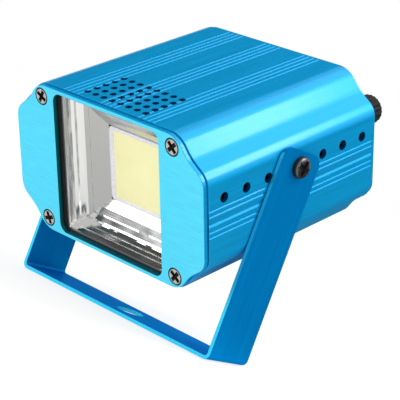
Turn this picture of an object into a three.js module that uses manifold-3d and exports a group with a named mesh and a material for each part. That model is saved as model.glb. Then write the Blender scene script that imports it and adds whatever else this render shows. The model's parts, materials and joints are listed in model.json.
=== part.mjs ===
// A mini strobe light: a square reflector and a flat LED in an extruded metal housing, which tilts in a
// U-shaped bracket. Millimetres, +Z up. The front faces -Y, and the bracket's base stands on the plane Z = 0.
import * as THREE from 'three';
import { mergeVertices } from 'three/addons/utils/BufferGeometryUtils.js';
import Module from 'manifold-3d';

const wasm = await Module();
wasm.setup();

// Clearances shared by all pieces
const seatGap = 0.25;        // between faces that rest on each other
const fitGap = 0.3;          // round a piece that sits in a hole or slot
const overrun = 2;           // how far a cutter reaches past what it cuts
const arcStep = 15;          // degrees between points of a rounded corner
const mergeDistance = 1e-5;  // points closer than this are one point

// Housing: outline seen from the front, the same all along its length
const housingWidth = 90.8;
const housingHeight = 54.2;
const housingLength = 77.9;
const housingWall = 1.6;
const lobeFromScrew = 2.1;       // the flat top ends this far outside the corner screws
const waistShare = 0.4083;       // place of the hollow between the screw lobe and the side
const waistFromTop = 6.6;
const cheekFromTop = 11.9;       // where the slope meets the flat side
const lobeRadius = 8.6;
const waistRadius = 6;
const cheekRadius = 4.6;

// Fine lines in the housing's top and sides
const lineWidth = 1;
const lineDepth = 0.35;
const linePitch = 2.2;
const linesPerGroup = 4;
const lineGroupPitch = 18;
const lineGroups = 3;
const sideLineOuter = 4.5;       // heights of the side lines above and below the middle line
const sideLineInner = 2.7;
const sideLineMiddle = -0.3;
const sideLineMiddleWidth = 1.7;

// Vents
const ventRadius = 1.2;
const ventPitch = 3.97;
const ventColumns = 8;
const ventRows = 5;
const ventFirstRow = 5.6;        // from the front plate's face
const sideVentRadius = 1.75;
const sideVentPitch = 9.94;
const sideVentFromPivot = 13;
const sideVentsEachWay = 3;

// End plates and their screws
const plateThickness = 1.5;
const plateInset = 0.5;
const windowMargin = 1.9;        // between the window and the housing's top and bottom
const screwFromWindow = 6.1;
const screwFromTop = 4.75;
const bossRadius = 3.2;
const windowCornerRadius = 3.2;
const plateScrew = { headRadius: 2.95, headHeight: 1.35, shankRadius: 1.35, length: 9 };
const plateScrewRecess = { length: 3.3, slot: 0.85, depth: 0.8 };

// Circuit board slots in the side walls
const railDepth = 2.5;
const railThickness = 1.2;
const boardLevel = -10;          // mid-thickness of the board
const boardThickness = 1.6;

// Pivot, bracket and its screws
const pivotFromFront = 41.3;
const pivotFromTop = 19.9;       // below the housing's top
const tiltDegrees = 30;          // the housing's nose is this far down when the light stands as photographed
const stripWidth = 20;
const stripThickness = 1.2;
const bendRadius = 2.4;
const armBelowPivot = 67.8;
const armAbovePivot = 5.1;
const armCornerRadius = 4.4;
const fixingHoleRadius = 4.9;
const pivotShankRadius = 1.9;
const pivotHeadRadius = 3.65;
const pivotHeadHeight = 2;
const pivotRecess = { length: 4.6, slot: 1.1, depth: 1.2 };
const pivotWasherThickness = 0.8;
const pivotWasherRadius = 4.2;
const pivotNutRadius = 4.05;
const pivotNutThickness = 3.2;
const pivotShankPastNut = 1;

// Reflector, gasket and LED
const opticsOffset = 0.8;        // the reflector sits this far to the right of the window's middle
const gasketThickness = 0.4;
const gasketCornerRadius = 3;
const mouthCornerRadius = 1;
const reflectorDepth = 10.6;
const reflectorWall = 0.8;
// Facets of the reflector, as shares of its depth and of the way in from mouth to throat
const facetShares = [[0, 0], [0.2, 0.06], [0.36, 0.13], [0.52, 0.21], [0.61, 0.3], [0.94, 0.93], [1, 1]];
const phosphorWidth = 23.2;
const phosphorHeight = 24.8;
const phosphorThickness = 0.6;
const damHeight = 0.7;
const damWidth = 0.75;           // above and below the phosphor
const ledBoardThickness = 1.5;
const ledBoardCornerRadius = 1;
const ledScrewInset = 2.6;
const ledScrewGap = 1;            // between the screw heads and the reflector's throat
const ledScrew = { headRadius: 2, headHeight: 1.2, shankRadius: 1.1, tip: 0.4 };
const spreaderThickness = 3;
const wireHoleRadius = 1.8;
const wireHoleFromBoard = 4.2;
const wireHoleLevel = 2;

// Speed control
const controlFromWall = 4.6;     // between the control's body and the housing's side wall
const controlLevel = 7.2;        // above the housing's middle
const controlBodyRadius = 8;
const controlBodyLength = 8;
const bushingRadius = 3.5;
const bushingLength = 5;
const shaftRadius = 3;
const shaftLength = 16;
const shaftGap = 0.25;
const controlNutRadius = 5.8;
const controlNutThickness = 2;
const knobRadius = 5.9;
const knobTopRadius = 5.2;
const knobSkirtRadius = 6.4;
const knobSkirt = 1.8;
const knobSkirtStraightShare = 0.7;
const knobLength = 11.4;
const knobRibs = 20;
const knobRibDepth = 0.35;
const knobBevel = 0.7;
const pointerWidth = 1;
const pointerDepth = 0.3;

// Cable inlet in the rear plate
const inletFromSide = 19.4;
const inletLevel = -4;
const inletBoreRadius = 2.4;
const inletNeckRadius = 4;
const inletLipRadius = 5.6;
const inletLip = 1.5;

// Driver board and its parts. Each part's place is given as shares of the board's half width, from its
// middle, and of its length, from its front edge.
const boardFromSpreader = 6.4;
const boardFromRear = 4.65;
const partLift = 0.2;            // the parts stand this far off the board
const transformerSize = { width: 22, depth: 17, height: 18, limb: 4.5, placeShares: [-0.04, 0.34] };
const inputCapacitorSize = { radius: 6.5, height: 17, groove: 0.4, placeShares: [-0.56, 0.55] };
const outputCapacitorSize = { radius: 5, height: 13, groove: 0.4, placeShares: [0.45, 0.54] };
const rectifierSize = { width: 15, depth: 3.6, height: 10, placeShares: [-0.04, 0.66] };
const transistorSize = { width: 10, depth: 4.5, height: 9, placeShares: [0.45, 0.26] };
const transistorTab = { height: 6.5, thickness: 1.3, holeRadius: 1.8 };
const chipSize = { width: 9.4, depth: 6.4, height: 3.4, rise: 1, placeShares: [0.45, 0.8] };
const chipLegs = { count: 4, width: 0.6, pitch: 2.54 };
const fuseSize = { radius: 2.6, length: 20, cap: 5, rim: 0.3, placeShares: [-0.84, 0.1] };
const terminalSize = { width: 11, depth: 8, height: 9, placeShares: [-0.6, 0.9] };
const terminalWays = { count: 2, opening: 3, screwRadius: 1.7, screwDepth: 2.4 };
const wireRadius = 0.8;
const wireSides = 8;
const wireSteps = 14;
const ribbonWidth = 5;
const ribbonThickness = 1;

const finish = {
  blue: { color: 0x0a86cf, roughness: 0.38, metalness: 0.85 },
  plateBlue: { color: 0x3fd0f7, roughness: 0.42, metalness: 0.8 },
  bracketBlue: { color: 0x0570b2, roughness: 0.4, metalness: 0.8 },
  zinc: { color: 0xb9b7b0, roughness: 0.35, metalness: 0.95 },
  nickel: { color: 0x5d5f61, roughness: 0.35, metalness: 0.95 },
  black: { color: 0x1b1d1e, roughness: 0.6, metalness: 0 },
  mirror: { color: 0xc9c9c4, roughness: 0.12, metalness: 1 },
  white: { color: 0xeeeef0, roughness: 0.5, metalness: 0 },
  phosphor: { color: 0xf1efb4, roughness: 0.6, metalness: 0 },
  aluminium: { color: 0xb4b7ba, roughness: 0.45, metalness: 0.9 },
  laminate: { color: 0x1e6b3a, roughness: 0.55, metalness: 0 },
  can: { color: 0x20232b, roughness: 0.35, metalness: 0.1 },
  ferrite: { color: 0x3a3a3c, roughness: 0.7, metalness: 0 },
  epoxy: { color: 0x151617, roughness: 0.5, metalness: 0 },
  glass: { color: 0xd7e2e2, roughness: 0.1, metalness: 0 },
  green: { color: 0x2f8f5b, roughness: 0.5, metalness: 0 },
  red: { color: 0xb3201c, roughness: 0.5, metalness: 0 },
  grey: { color: 0x8d8f92, roughness: 0.5, metalness: 0 },
};

// The front plate's window and screws, and the corners of the housing's outline
const windowSize = housingHeight - windowMargin * 2;
const screwSpacingX = windowSize + screwFromWindow * 2;
const screwSpacingZ = housingHeight - screwFromTop * 2;
const lobeHalfWidth = screwSpacingX / 2 + lobeFromScrew;
const waistHalfWidth = THREE.MathUtils.lerp(lobeHalfWidth, housingWidth / 2, waistShare);
const waistHalfHeight = housingHeight / 2 - waistFromTop;
const cheekHalfHeight = housingHeight / 2 - cheekFromTop;

// Height of the pivot above the housing's middle
const pivotLevel = housingHeight / 2 - pivotFromTop;

// Places across the rear plate
const controlX = housingWidth / 2 - housingWall - controlFromWall - controlBodyRadius;
const inletX = inletFromSide - housingWidth / 2;

// Places along the head, from the front plate's face to the rear
const housingFront = plateThickness + seatGap;
const housingBack = housingFront + housingLength;
const rearPlateFront = housingBack + seatGap;
const rearPlateBack = rearPlateFront + plateThickness;
const mouthHalf = housingHeight / 2 - housingWall - fitGap - reflectorWall;
const damHalf = phosphorHeight / 2 + fitGap / 2 + damWidth;
const throatHalf = damHalf + fitGap;
const ledScrewHalf = throatHalf + reflectorWall + ledScrewGap + ledScrew.headRadius;
const ledBoardSize = (ledScrewHalf + ledScrewInset) * 2;
const mouthPlace = housingFront + gasketThickness + seatGap;
const throatPlace = mouthPlace + reflectorDepth;
const ledBoardFront = throatPlace + phosphorThickness + seatGap;
const spreaderFront = ledBoardFront + ledBoardThickness + seatGap;
const spreaderBack = spreaderFront + spreaderThickness;
const boardTop = boardLevel + boardThickness / 2;
const boardWidth = housingWidth - (housingWall + fitGap) * 2;
const boardFront = spreaderBack + boardFromSpreader;
const boardLength = housingBack - boardFromRear - boardFront;
const armInner = housingWidth / 2 + fitGap;
const armOuter = armInner + stripThickness;
const pivotHeadSeat = armOuter + seatGap;

const radians = THREE.MathUtils.degToRad;

// A closed geometry whose shared points are merged and whose faces point out
function closed(geometry) {
  const bare = geometry.clone();
  bare.deleteAttribute('normal');
  bare.deleteAttribute('uv');
  const merged = mergeVertices(bare, mergeDistance);
  const points = merged.attributes.position;
  const index = merged.index.array;
  const a = new THREE.Vector3();
  const b = new THREE.Vector3();
  const c = new THREE.Vector3();
  let volume = 0;
  for (let i = 0; i < index.length; i += 3) {
    a.fromBufferAttribute(points, index[i]);
    b.fromBufferAttribute(points, index[i + 1]);
    c.fromBufferAttribute(points, index[i + 2]);
    volume += a.dot(b.cross(c));
  }
  if (volume < 0) index.reverse();
  return merged;
}

function solid(geometry) {
  const merged = closed(geometry);
  const vertProperties = new Float32Array(merged.attributes.position.array);
  const triVerts = new Uint32Array(merged.index.array);
  return new wasm.Manifold(new wasm.Mesh({ numProp: 3, vertProperties, triVerts }));
}

function geometryOf(body) {
  const mesh = body.getMesh();
  const geometry = new THREE.BufferGeometry();
  geometry.setAttribute('position', new THREE.BufferAttribute(new Float32Array(mesh.vertProperties), 3));
  geometry.setIndex(new THREE.BufferAttribute(new Uint32Array(mesh.triVerts), 1));
  geometry.computeVertexNormals();
  return geometry;
}

function join(bodies) {
  return bodies.reduce((whole, body) => whole.add(body));
}

function cut(body, cutters) {
  return body.subtract(join(cutters));
}

// Sizes: lengths along X, Y and Z. Place: the middle of the box.
function box(sizes, place) {
  return new THREE.BoxGeometry(...sizes).translate(...place);
}

function rod(radius, length, sides = 16, farRadius = radius) {
  return new THREE.CylinderGeometry(farRadius, radius, length, sides);
}

// Rods along each axis, from their low end
function rodX(radius, x, y, z, length, sides) {
  return rod(radius, length, sides).rotateZ(-Math.PI / 2).translate(x + length / 2, y, z);
}

function rodY(radius, x, y, z, length, sides, farRadius) {
  return rod(radius, length, sides, farRadius).translate(x, y + length / 2, z);
}

function rodZ(radius, x, y, z, length, sides) {
  return rod(radius, length, sides).rotateX(Math.PI / 2).translate(x, y, z + length / 2);
}

// Corners are [x, y, radius], anticlockwise. Returns the corners of the outline moved in by a distance.
function insetCorners(corners, distance) {
  const edges = corners.map(([x, y], i) => {
    const [nextX, nextY] = corners[(i + 1) % corners.length];
    const along = new THREE.Vector2(nextX - x, nextY - y).normalize();
    const inward = new THREE.Vector2(-along.y, along.x).multiplyScalar(distance);
    return { along, start: new THREE.Vector2(x, y).add(inward) };
  });
  return corners.map(([, , radius], i) => {
    const before = edges[(i + edges.length - 1) % edges.length];
    const after = edges[i];
    const turn = before.along.cross(after.along);
    const step = after.start.clone().sub(before.start).cross(after.along) / turn;
    const point = before.start.clone().addScaledVector(before.along, step);
    return [point.x, point.y, Math.max(radius - Math.sign(turn) * distance, 0)];
  });
}

// A closed outline through the corners, with an arc of each corner's radius
function outline(corners) {
  const points = [];
  corners.forEach(([x, y, radius], i) => {
    const corner = new THREE.Vector2(x, y);
    const [lastX, lastY] = corners[(i + corners.length - 1) % corners.length];
    const [nextX, nextY] = corners[(i + 1) % corners.length];
    const into = new THREE.Vector2(x - lastX, y - lastY).normalize();
    const out = new THREE.Vector2(nextX - x, nextY - y).normalize();
    const turn = Math.atan2(into.cross(out), into.dot(out));
    if (radius === 0) {
      points.push(corner);
      return;
    }
    const reach = radius * Math.tan(Math.abs(turn) / 2);
    const first = corner.clone().addScaledVector(into, -reach);
    const side = Math.sign(turn);
    const centre = first.clone().add(new THREE.Vector2(-into.y, into.x).multiplyScalar(radius * side));
    const steps = Math.max(Math.ceil(Math.abs(turn) / radians(arcStep)), 1);
    for (let step = 0; step <= steps; step++) {
      points.push(first.clone().rotateAround(centre, turn * step / steps));
    }
  });
  return new THREE.Shape(points);
}

function rectangle(width, height, radius, x = 0, y = 0) {
  const right = x + width / 2;
  const left = right - width;
  const top = y + height / 2;
  const low = top - height;
  return [[right, top, radius], [left, top, radius], [left, low, radius], [right, low, radius]];
}

// The shape stands in the X-Z plane and is extruded along +Y
function slab(shape, front, thickness) {
  const geometry = new THREE.ExtrudeGeometry(shape, { depth: thickness, bevelEnabled: false });
  return geometry.rotateX(Math.PI / 2).translate(0, front + thickness, 0);
}

// Rings of as many points each, joined one to the next, with the two ends capped
function loft(rings) {
  const count = rings[0].length;
  const points = rings.flat();
  const index = [];
  for (let ring = 0; ring < rings.length - 1; ring++) {
    for (let i = 0; i < count; i++) {
      const a = ring * count + i;
      const b = ring * count + (i + 1) % count;
      index.push(a, b, b + count, a, b + count, a + count);
    }
  }
  [[0, 1], [rings.length - 1, -1]].forEach(([ring, way]) => {
    const middle = points.length;
    const centre = rings[ring].reduce((sum, point) => sum.add(point), new THREE.Vector3());
    points.push(centre.divideScalar(count));
    for (let i = 0; i < count; i++) {
      const pair = [ring * count + i, ring * count + (i + 1) % count];
      if (way > 0) pair.reverse();
      index.push(middle, ...pair);
    }
  });
  const geometry = new THREE.BufferGeometry().setFromPoints(points);
  geometry.setIndex(index);
  return geometry;
}

// Square rings joined one to the next, and the last to the first
function squareLoop(sections) {
  const points = [];
  const index = [];
  for (const [half, y] of sections) {
    for (const [x, z] of [[half, half], [-half, half], [-half, -half], [half, -half]]) {
      points.push(new THREE.Vector3(x, y, z));
    }
  }
  const sides = 4;
  for (let ring = 0; ring < sections.length; ring++) {
    const next = (ring + 1) % sections.length;
    for (let i = 0; i < sides; i++) {
      const j = (i + 1) % sides;
      index.push(ring * sides + i, ring * sides + j, next * sides + j);
      index.push(ring * sides + i, next * sides + j, next * sides + i);
    }
  }
  const geometry = new THREE.BufferGeometry().setFromPoints(points);
  geometry.setIndex(index);
  return geometry;
}

function turned(profile, sides) {
  return new THREE.LatheGeometry(profile.map(([radius, y]) => new THREE.Vector2(radius, y)), sides);
}

const strobe = new THREE.Group();
const stand = new THREE.Group();
const head = new THREE.Group();
stand.add(head);
strobe.add(stand);
head.position.set(0, 0, armBelowPivot);
head.rotation.x = radians(tiltDegrees);

function place(name, shape, look, group = head) {
  const geometry = shape.isBufferGeometry ? closed(shape) : geometryOf(shape);
  if (group === head) geometry.translate(0, -pivotFromFront, -pivotLevel);
  const mesh = new THREE.Mesh(geometry, new THREE.MeshStandardMaterial({ ...finish[look] }));
  mesh.name = name;
  group.add(mesh);
}

// Outline corners of the housing, anticlockwise from the right side
function housingCorners() {
  const halfWidth = housingWidth / 2;
  const halfHeight = housingHeight / 2;
  const quarter = [[halfWidth, cheekHalfHeight, cheekRadius], [waistHalfWidth, waistHalfHeight, waistRadius],
    [lobeHalfWidth, halfHeight, lobeRadius]];
  const mirrored = (signX, signZ) => quarter.map(([x, z, radius]) => [x * signX, z * signZ, radius]);
  return [...mirrored(1, 1), ...mirrored(-1, 1).reverse(), ...mirrored(-1, -1), ...mirrored(1, -1).reverse()];
}

// The four corners of a rectangle in the X-Z plane
function fourCorners(width, height, middleX = 0) {
  return [[-1, 1], [1, 1], [-1, -1], [1, -1]].map(([x, z]) => [middleX + x * width / 2, z * height / 2]);
}

const screwPlaces = fourCorners(screwSpacingX, screwSpacingZ);
const pivotSides = [['left', -1], ['right', 1]];

function boardRails(gap) {
  const innerFace = housingWidth / 2 - housingWall;
  const slotHalf = boardThickness / 2 + fitGap;
  return [-1, 1].flatMap((side) => [-1, 1].map((way) => {
    const width = railDepth + housingWall / 2 + gap;
    const x = side * (innerFace - railDepth - gap + width / 2);
    const z = boardLevel + way * (slotHalf + railThickness / 2);
    return box([width, housingLength, railThickness + gap * 2], [x, housingFront + housingLength / 2, z]);
  }));
}

// A V-shaped groove along Y, its open side towards a direction given in degrees from +X
function groove(x, z, width, facing) {
  const top = overrun / 2;
  const flare = width / 2 * (1 + top / lineDepth);
  const bottom = new THREE.Vector2();
  const points = [[-lineDepth, 0], [top, -flare], [top, flare]].map(([out, along]) => {
    return new THREE.Vector2(out, along).rotateAround(bottom, radians(facing)).add(new THREE.Vector2(x, z));
  });
  return solid(slab(new THREE.Shape(points), housingFront - overrun, housingLength + overrun * 2));
}

function housingLines() {
  const lines = [];
  for (let group = 0; group < lineGroups; group++) {
    for (let line = 0; line < linesPerGroup; line++) {
      const groupX = (group - (lineGroups - 1) / 2) * lineGroupPitch;
      const lineX = groupX + (line - (linesPerGroup - 1) / 2) * linePitch;
      lines.push(groove(lineX, housingHeight / 2, lineWidth, 90));
    }
  }
  for (const [side, facing] of [[1, 0], [-1, 180]]) {
    for (const level of [-sideLineOuter, -sideLineInner, 0, sideLineInner, sideLineOuter]) {
      const width = level === 0 ? sideLineMiddleWidth : lineWidth;
      lines.push(groove(side * housingWidth / 2, level + sideLineMiddle, width, facing));
    }
  }
  return lines;
}

function housingVents() {
  const vents = [];
  for (let row = 0; row < ventRows; row++) {
    for (let column = 0; column < ventColumns; column++) {
      const x = (column - (ventColumns - 1) / 2) * ventPitch;
      const z = housingHeight / 2 - housingWall - overrun / 2;
      vents.push(solid(rodZ(ventRadius, x, ventFirstRow + row * ventPitch, z, housingWall + overrun, 12)));
    }
  }
  for (let step = 0; step < sideVentsEachWay; step++) {
    for (const way of [-1, 1]) {
      const y = pivotFromFront + way * (sideVentFromPivot + step * sideVentPitch);
      vents.push(solid(rodX(sideVentRadius, -housingWidth, y, pivotLevel, housingWidth * 2, 14)));
    }
  }
  return vents;
}

function housingExtrusion() {
  const corners = housingCorners();
  const outer = solid(slab(outline(corners), housingFront, housingLength));
  const innerShape = outline(insetCorners(corners, housingWall));
  const inner = solid(slab(innerShape, housingFront - overrun, housingLength + overrun * 2));
  const bosses = screwPlaces.map(([x, z]) => solid(rodY(bossRadius, x, housingFront, z, housingLength, 20)));
  const rails = boardRails(0).map(solid);
  const screwHoleRadius = plateScrew.shankRadius + fitGap;
  const screwHoles = screwPlaces.map(([x, z]) => {
    return solid(rodY(screwHoleRadius, x, housingFront - overrun, z, housingLength + overrun * 2, 12));
  });
  const pivotBore = pivotShankRadius + fitGap;
  const pivotHole = solid(rodX(pivotBore, -housingWidth, pivotFromFront, pivotLevel, housingWidth * 2, 16));
  const filled = join([outer.subtract(inner), ...bosses.map((boss) => boss.intersect(outer)), ...rails]);
  return cut(filled, [...screwHoles, pivotHole, ...housingVents(), ...housingLines()]);
}

// Cutters for the countersunk screws of a plate whose outer face is given, reaching in along +Y or along -Y
function countersinks(face, way) {
  return screwPlaces.flatMap(([x, z]) => {
    const gap = fitGap / 2;
    const wide = plateScrew.headRadius + gap;
    const narrow = plateScrew.shankRadius + gap;
    const deep = plateScrew.headHeight + gap;
    const cone = turned([[0, -overrun], [wide, -overrun], [wide, 0], [narrow, deep], [0, deep]], 20);
    const bore = rod(narrow, plateThickness + overrun * 2, 20).translate(0, plateThickness / 2, 0);
    return [cone, bore].map((shape) => {
      if (way < 0) shape.rotateX(Math.PI);
      return solid(shape.translate(x, face, z));
    });
  });
}

function frontPlate() {
  const shape = outline(insetCorners(housingCorners(), plateInset));
  shape.holes.push(outline(rectangle(windowSize, windowSize, windowCornerRadius)));
  return cut(solid(slab(shape, 0, plateThickness)), countersinks(0, 1));
}

function rearPlate() {
  const shape = outline(insetCorners(housingCorners(), plateInset));
  const depth = plateThickness + overrun * 2;
  const start = rearPlateFront - overrun;
  const openings = [
    solid(rodY(bushingRadius + fitGap, controlX, start, controlLevel, depth, 20)),
    solid(rodY(inletNeckRadius + fitGap, inletX, start, inletLevel, depth, 20)),
  ];
  const plate = solid(slab(shape, rearPlateFront, plateThickness));
  return cut(plate, [...countersinks(rearPlateBack, -1), ...openings]);
}

// Two crossed slots in a head whose top is at Y = 0 and which reaches towards +Y
function crossRecess({ length, slot, depth }) {
  const tall = depth + overrun;
  const middle = (depth - overrun) / 2;
  return join([[length, slot], [slot, length]].map(([x, z]) => solid(box([x, tall, z], [0, middle, 0]))));
}

function countersunkScrew() {
  const { headRadius, headHeight, shankRadius, length } = plateScrew;
  const head = [[0, 0], [headRadius, 0], [shankRadius, headHeight]];
  const body = turned([...head, [shankRadius, length - shankRadius], [0, length]], 14);
  return solid(body).subtract(crossRecess(plateScrewRecess));
}

function plateScrews() {
  screwPlaces.forEach(([x, z], i) => {
    place(`front_screw_${i + 1}`, geometryOf(countersunkScrew()).translate(x, 0, z), 'zinc');
    const turnedRound = geometryOf(countersunkScrew()).rotateX(Math.PI);
    place(`rear_screw_${i + 1}`, turnedRound.translate(x, rearPlateBack, z), 'zinc');
  });
}

function bracket() {
  const height = armBelowPivot + armAbovePivot;
  const arm = [[armOuter, 0, bendRadius], [armOuter, height, 0], [armInner, height, 0],
    [armInner, stripThickness, bendRadius - stripThickness]];
  const corners = [...arm, ...arm.map(([x, z, radius]) => [-x, z, radius]).reverse()];
  const strip = solid(slab(outline(corners), -stripWidth / 2, stripWidth));
  const topRounded = rectangle(stripWidth, height, 0, 0, height / 2).map(([x, z]) => {
    return [x, z, z > 0 ? armCornerRadius : 0];
  });
  const side = slab(outline(topRounded), -armOuter - overrun, (armOuter + overrun) * 2).rotateZ(Math.PI / 2);
  const holes = [
    solid(rodX(pivotShankRadius + fitGap, -housingWidth, 0, armBelowPivot, housingWidth * 2, 20)),
    solid(rodZ(fixingHoleRadius, 0, 0, -overrun, stripThickness + overrun * 2, 28)),
  ];
  return cut(strip.intersect(solid(side)), holes);
}

// Along +Y from the head's top at Y = 0. The shank goes through the arm, the wall, the washer and the nut.
function panScrew() {
  const clamped = pivotHeadSeat - housingWidth / 2 + housingWall + seatGap * 2 + pivotWasherThickness;
  const length = pivotHeadHeight + clamped + pivotNutThickness + pivotShankPastNut;
  const domeShares = [[0.55, 0], [0.86, 0.16], [1, 0.5], [1, 1]];
  const dome = domeShares.map(([across, down]) => [pivotHeadRadius * across, pivotHeadHeight * down]);
  const shank = [[pivotShankRadius, pivotHeadHeight], [pivotShankRadius, length], [0, length]];
  return solid(turned([[0, 0], ...dome, ...shank], 20)).subtract(crossRecess(pivotRecess));
}

function ring(outerRadius, innerRadius, thickness, sides, innerSides = 16) {
  const outer = solid(rod(outerRadius, thickness, sides));
  return outer.subtract(solid(rod(innerRadius, thickness + overrun, innerSides)));
}

function pivotHardware() {
  const washerOuter = housingWidth / 2 - housingWall - seatGap;
  const nutOuter = washerOuter - pivotWasherThickness - seatGap;
  const boreRadius = pivotShankRadius + fitGap;
  for (const [name, side] of pivotSides) {
    const seat = (body, x) => {
      return geometryOf(body).rotateZ(side * Math.PI / 2).translate(side * x, pivotFromFront, pivotLevel);
    };
    place(`pivot_screw_${name}`, seat(panScrew(), pivotHeadSeat + pivotHeadHeight), 'nickel');
    const washer = ring(pivotWasherRadius, boreRadius, pivotWasherThickness, 20);
    place(`pivot_washer_${name}`, seat(washer, washerOuter - pivotWasherThickness / 2), 'zinc');
    const nut = ring(pivotNutRadius, boreRadius, pivotNutThickness, 6);
    place(`pivot_nut_${name}`, seat(nut, nutOuter - pivotNutThickness / 2), 'zinc');
  }
}

function gasket() {
  const width = screwSpacingX - (bossRadius + fitGap) * 2;
  const height = housingHeight - (housingWall + fitGap) * 2;
  const shape = outline(rectangle(width, height, gasketCornerRadius));
  shape.holes.push(outline(rectangle(mouthHalf * 2, mouthHalf * 2, mouthCornerRadius, opticsOffset)));
  return slab(shape, housingFront, gasketThickness);
}

// Moves an open profile of [half width, depth] points out by a distance, square to its length
function outside(profile, distance) {
  return profile.map(([half, depth], i) => {
    const before = profile[Math.max(i - 1, 0)];
    const after = profile[Math.min(i + 1, profile.length - 1)];
    const along = new THREE.Vector2(after[0] - before[0], after[1] - before[1]).normalize();
    return [half + along.y * distance, depth - along.x * distance];
  });
}

function reflector() {
  const inner = facetShares.map(([deep, inward]) => {
    return [mouthHalf + (throatHalf - mouthHalf) * inward, mouthPlace + reflectorDepth * deep];
  });
  const outer = outside(inner, reflectorWall);
  outer[0] = [mouthHalf + reflectorWall, mouthPlace];
  outer[outer.length - 1][1] = throatPlace;
  return squareLoop([...inner, ...outer.reverse()]).translate(opticsOffset, 0, 0);
}

function ledPieces() {
  const shift = [opticsOffset, 0];
  const phosphor = outline(rectangle(phosphorWidth, phosphorHeight, 0, ...shift));
  place('led_phosphor', slab(phosphor, throatPlace, phosphorThickness), 'phosphor');
  const dam = outline(rectangle(damHalf * 2, damHalf * 2, 0, ...shift));
  dam.holes.push(outline(rectangle(phosphorWidth + fitGap, phosphorHeight + fitGap, 0, ...shift)));
  place('led_dam', slab(dam, ledBoardFront - seatGap - damHeight, damHeight), 'white');
  const places = fourCorners(ledScrewHalf * 2, ledScrewHalf * 2, opticsOffset);
  const holeRadius = ledScrew.shankRadius + fitGap;
  const holesFrom = (front, depth) => places.map(([x, z]) => solid(rodY(holeRadius, x, front, z, depth, 12)));
  const boardShape = outline(rectangle(ledBoardSize, ledBoardSize, ledBoardCornerRadius, ...shift));
  const board = solid(slab(boardShape, ledBoardFront, ledBoardThickness));
  const boardHoles = holesFrom(ledBoardFront - overrun, ledBoardThickness + overrun * 2);
  place('led_board', cut(board, boardHoles), 'aluminium');
  const { headRadius, headHeight, shankRadius, tip } = ledScrew;
  const screwFront = ledBoardFront - seatGap - headHeight;
  const length = spreaderBack + tip - screwFront;
  places.forEach(([x, z], i) => {
    const body = turned([[0, 0], [headRadius, 0], [headRadius, headHeight], [shankRadius, headHeight],
      [shankRadius, length], [0, length]], 12);
    place(`led_screw_${i + 1}`, body.translate(x, screwFront, z), 'zinc');
  });
  const spreaderHoles = holesFrom(spreaderFront - overrun, spreaderThickness + overrun * 2);
  place('heat_spreader', heatSpreader(spreaderHoles), 'aluminium');
}

function wireHoleX(side) {
  return opticsOffset + side * (ledBoardSize / 2 + wireHoleFromBoard);
}

function heatSpreader(screwHoles) {
  const shape = outline(insetCorners(housingCorners(), housingWall + fitGap));
  const depth = spreaderThickness + overrun * 2;
  const start = spreaderFront - overrun;
  const bosses = screwPlaces.map(([x, z]) => solid(rodY(bossRadius + fitGap, x, start, z, depth, 20)));
  const wireHoles = [-1, 1].map((side) => {
    return solid(rodY(wireHoleRadius, wireHoleX(side), start, wireHoleLevel, depth, 12));
  });
  const rails = boardRails(fitGap).map(solid);
  const spreader = solid(slab(shape, spreaderFront, spreaderThickness));
  return cut(spreader, [...bosses, ...wireHoles, ...rails, ...screwHoles]);
}

// A wire along a smooth curve through the points
function wire(points) {
  const stops = points.map((point) => new THREE.Vector3(...point));
  const extrudePath = new THREE.CatmullRomCurve3(stops, false, 'centripetal');
  const section = new THREE.Shape();
  section.absarc(0, 0, wireRadius, 0, Math.PI * 2);
  const options = { steps: wireSteps, extrudePath, curveSegments: wireSides / 2, bevelEnabled: false };
  return new THREE.ExtrudeGeometry(section, options);
}

function ledWires() {
  for (const [name, side, look] of [['positive', 1, 'red'], ['negative', -1, 'epoxy']]) {
    const pad = opticsOffset + side * (ledBoardSize / 2 - wireRadius * 2);
    const padFront = ledBoardFront - wireRadius - seatGap;
    const hole = wireHoleX(side);
    const back = spreaderBack + wireRadius * 4;
    const landing = boardFront + wireRadius * 6;
    place(`led_wire_${name}`, wire([
      [pad, padFront, wireHoleLevel], [(pad + hole) / 2, padFront - wireRadius, wireHoleLevel],
      [hole - side * wireRadius, padFront + wireRadius, wireHoleLevel], [hole, spreaderFront, wireHoleLevel],
      [hole, spreaderBack, wireHoleLevel], [hole, back + wireRadius * 2, wireHoleLevel - wireRadius],
      [hole, landing, (wireHoleLevel + boardTop) / 2], [hole, landing, boardTop + fitGap],
    ]), look);
  }
}

// Parts stand on the board, their underside at this level
const standing = boardTop + partLift;

function onBoard([acrossShare, alongShare]) {
  return [boardWidth / 2 * acrossShare, boardFront + boardLength * alongShare];
}

function boardBlock({ width, depth, height, placeShares }) {
  const [x, y] = onBoard(placeShares);
  return box([width, depth, height], [x, y, standing + height / 2]);
}

// A rectangular core with the winding's spool in its window
function transformer() {
  const { width, depth, height, limb, placeShares } = transformerSize;
  const [x, y] = onBoard(placeShares);
  const windowHeight = height - limb * 2;
  const middle = standing + height / 2;
  const core = solid(boardBlock({ width, depth: depth / 2, height, placeShares }));
  const coreWindow = solid(box([width - limb * 2, depth, windowHeight], [x, y, middle]));
  const spool = solid(rodZ(depth / 2, x, y, middle - windowHeight / 2, windowHeight, 16));
  return core.subtract(coreWindow).add(spool);
}

// A can with a crimped groove near its foot
function capacitor({ radius, height, groove, placeShares }) {
  const crimp = radius / 3;
  const waist = radius - groove;
  const foot = [[0, 0], [waist, 0], [radius, groove], [radius, crimp]];
  const top = [[radius, height - groove], [waist, height], [0, height]];
  const profile = [...foot, [waist, crimp + groove], [radius, crimp + groove * 2], ...top];
  return turned(profile, 18).rotateX(Math.PI / 2).translate(...onBoard(placeShares), standing);
}

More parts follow.
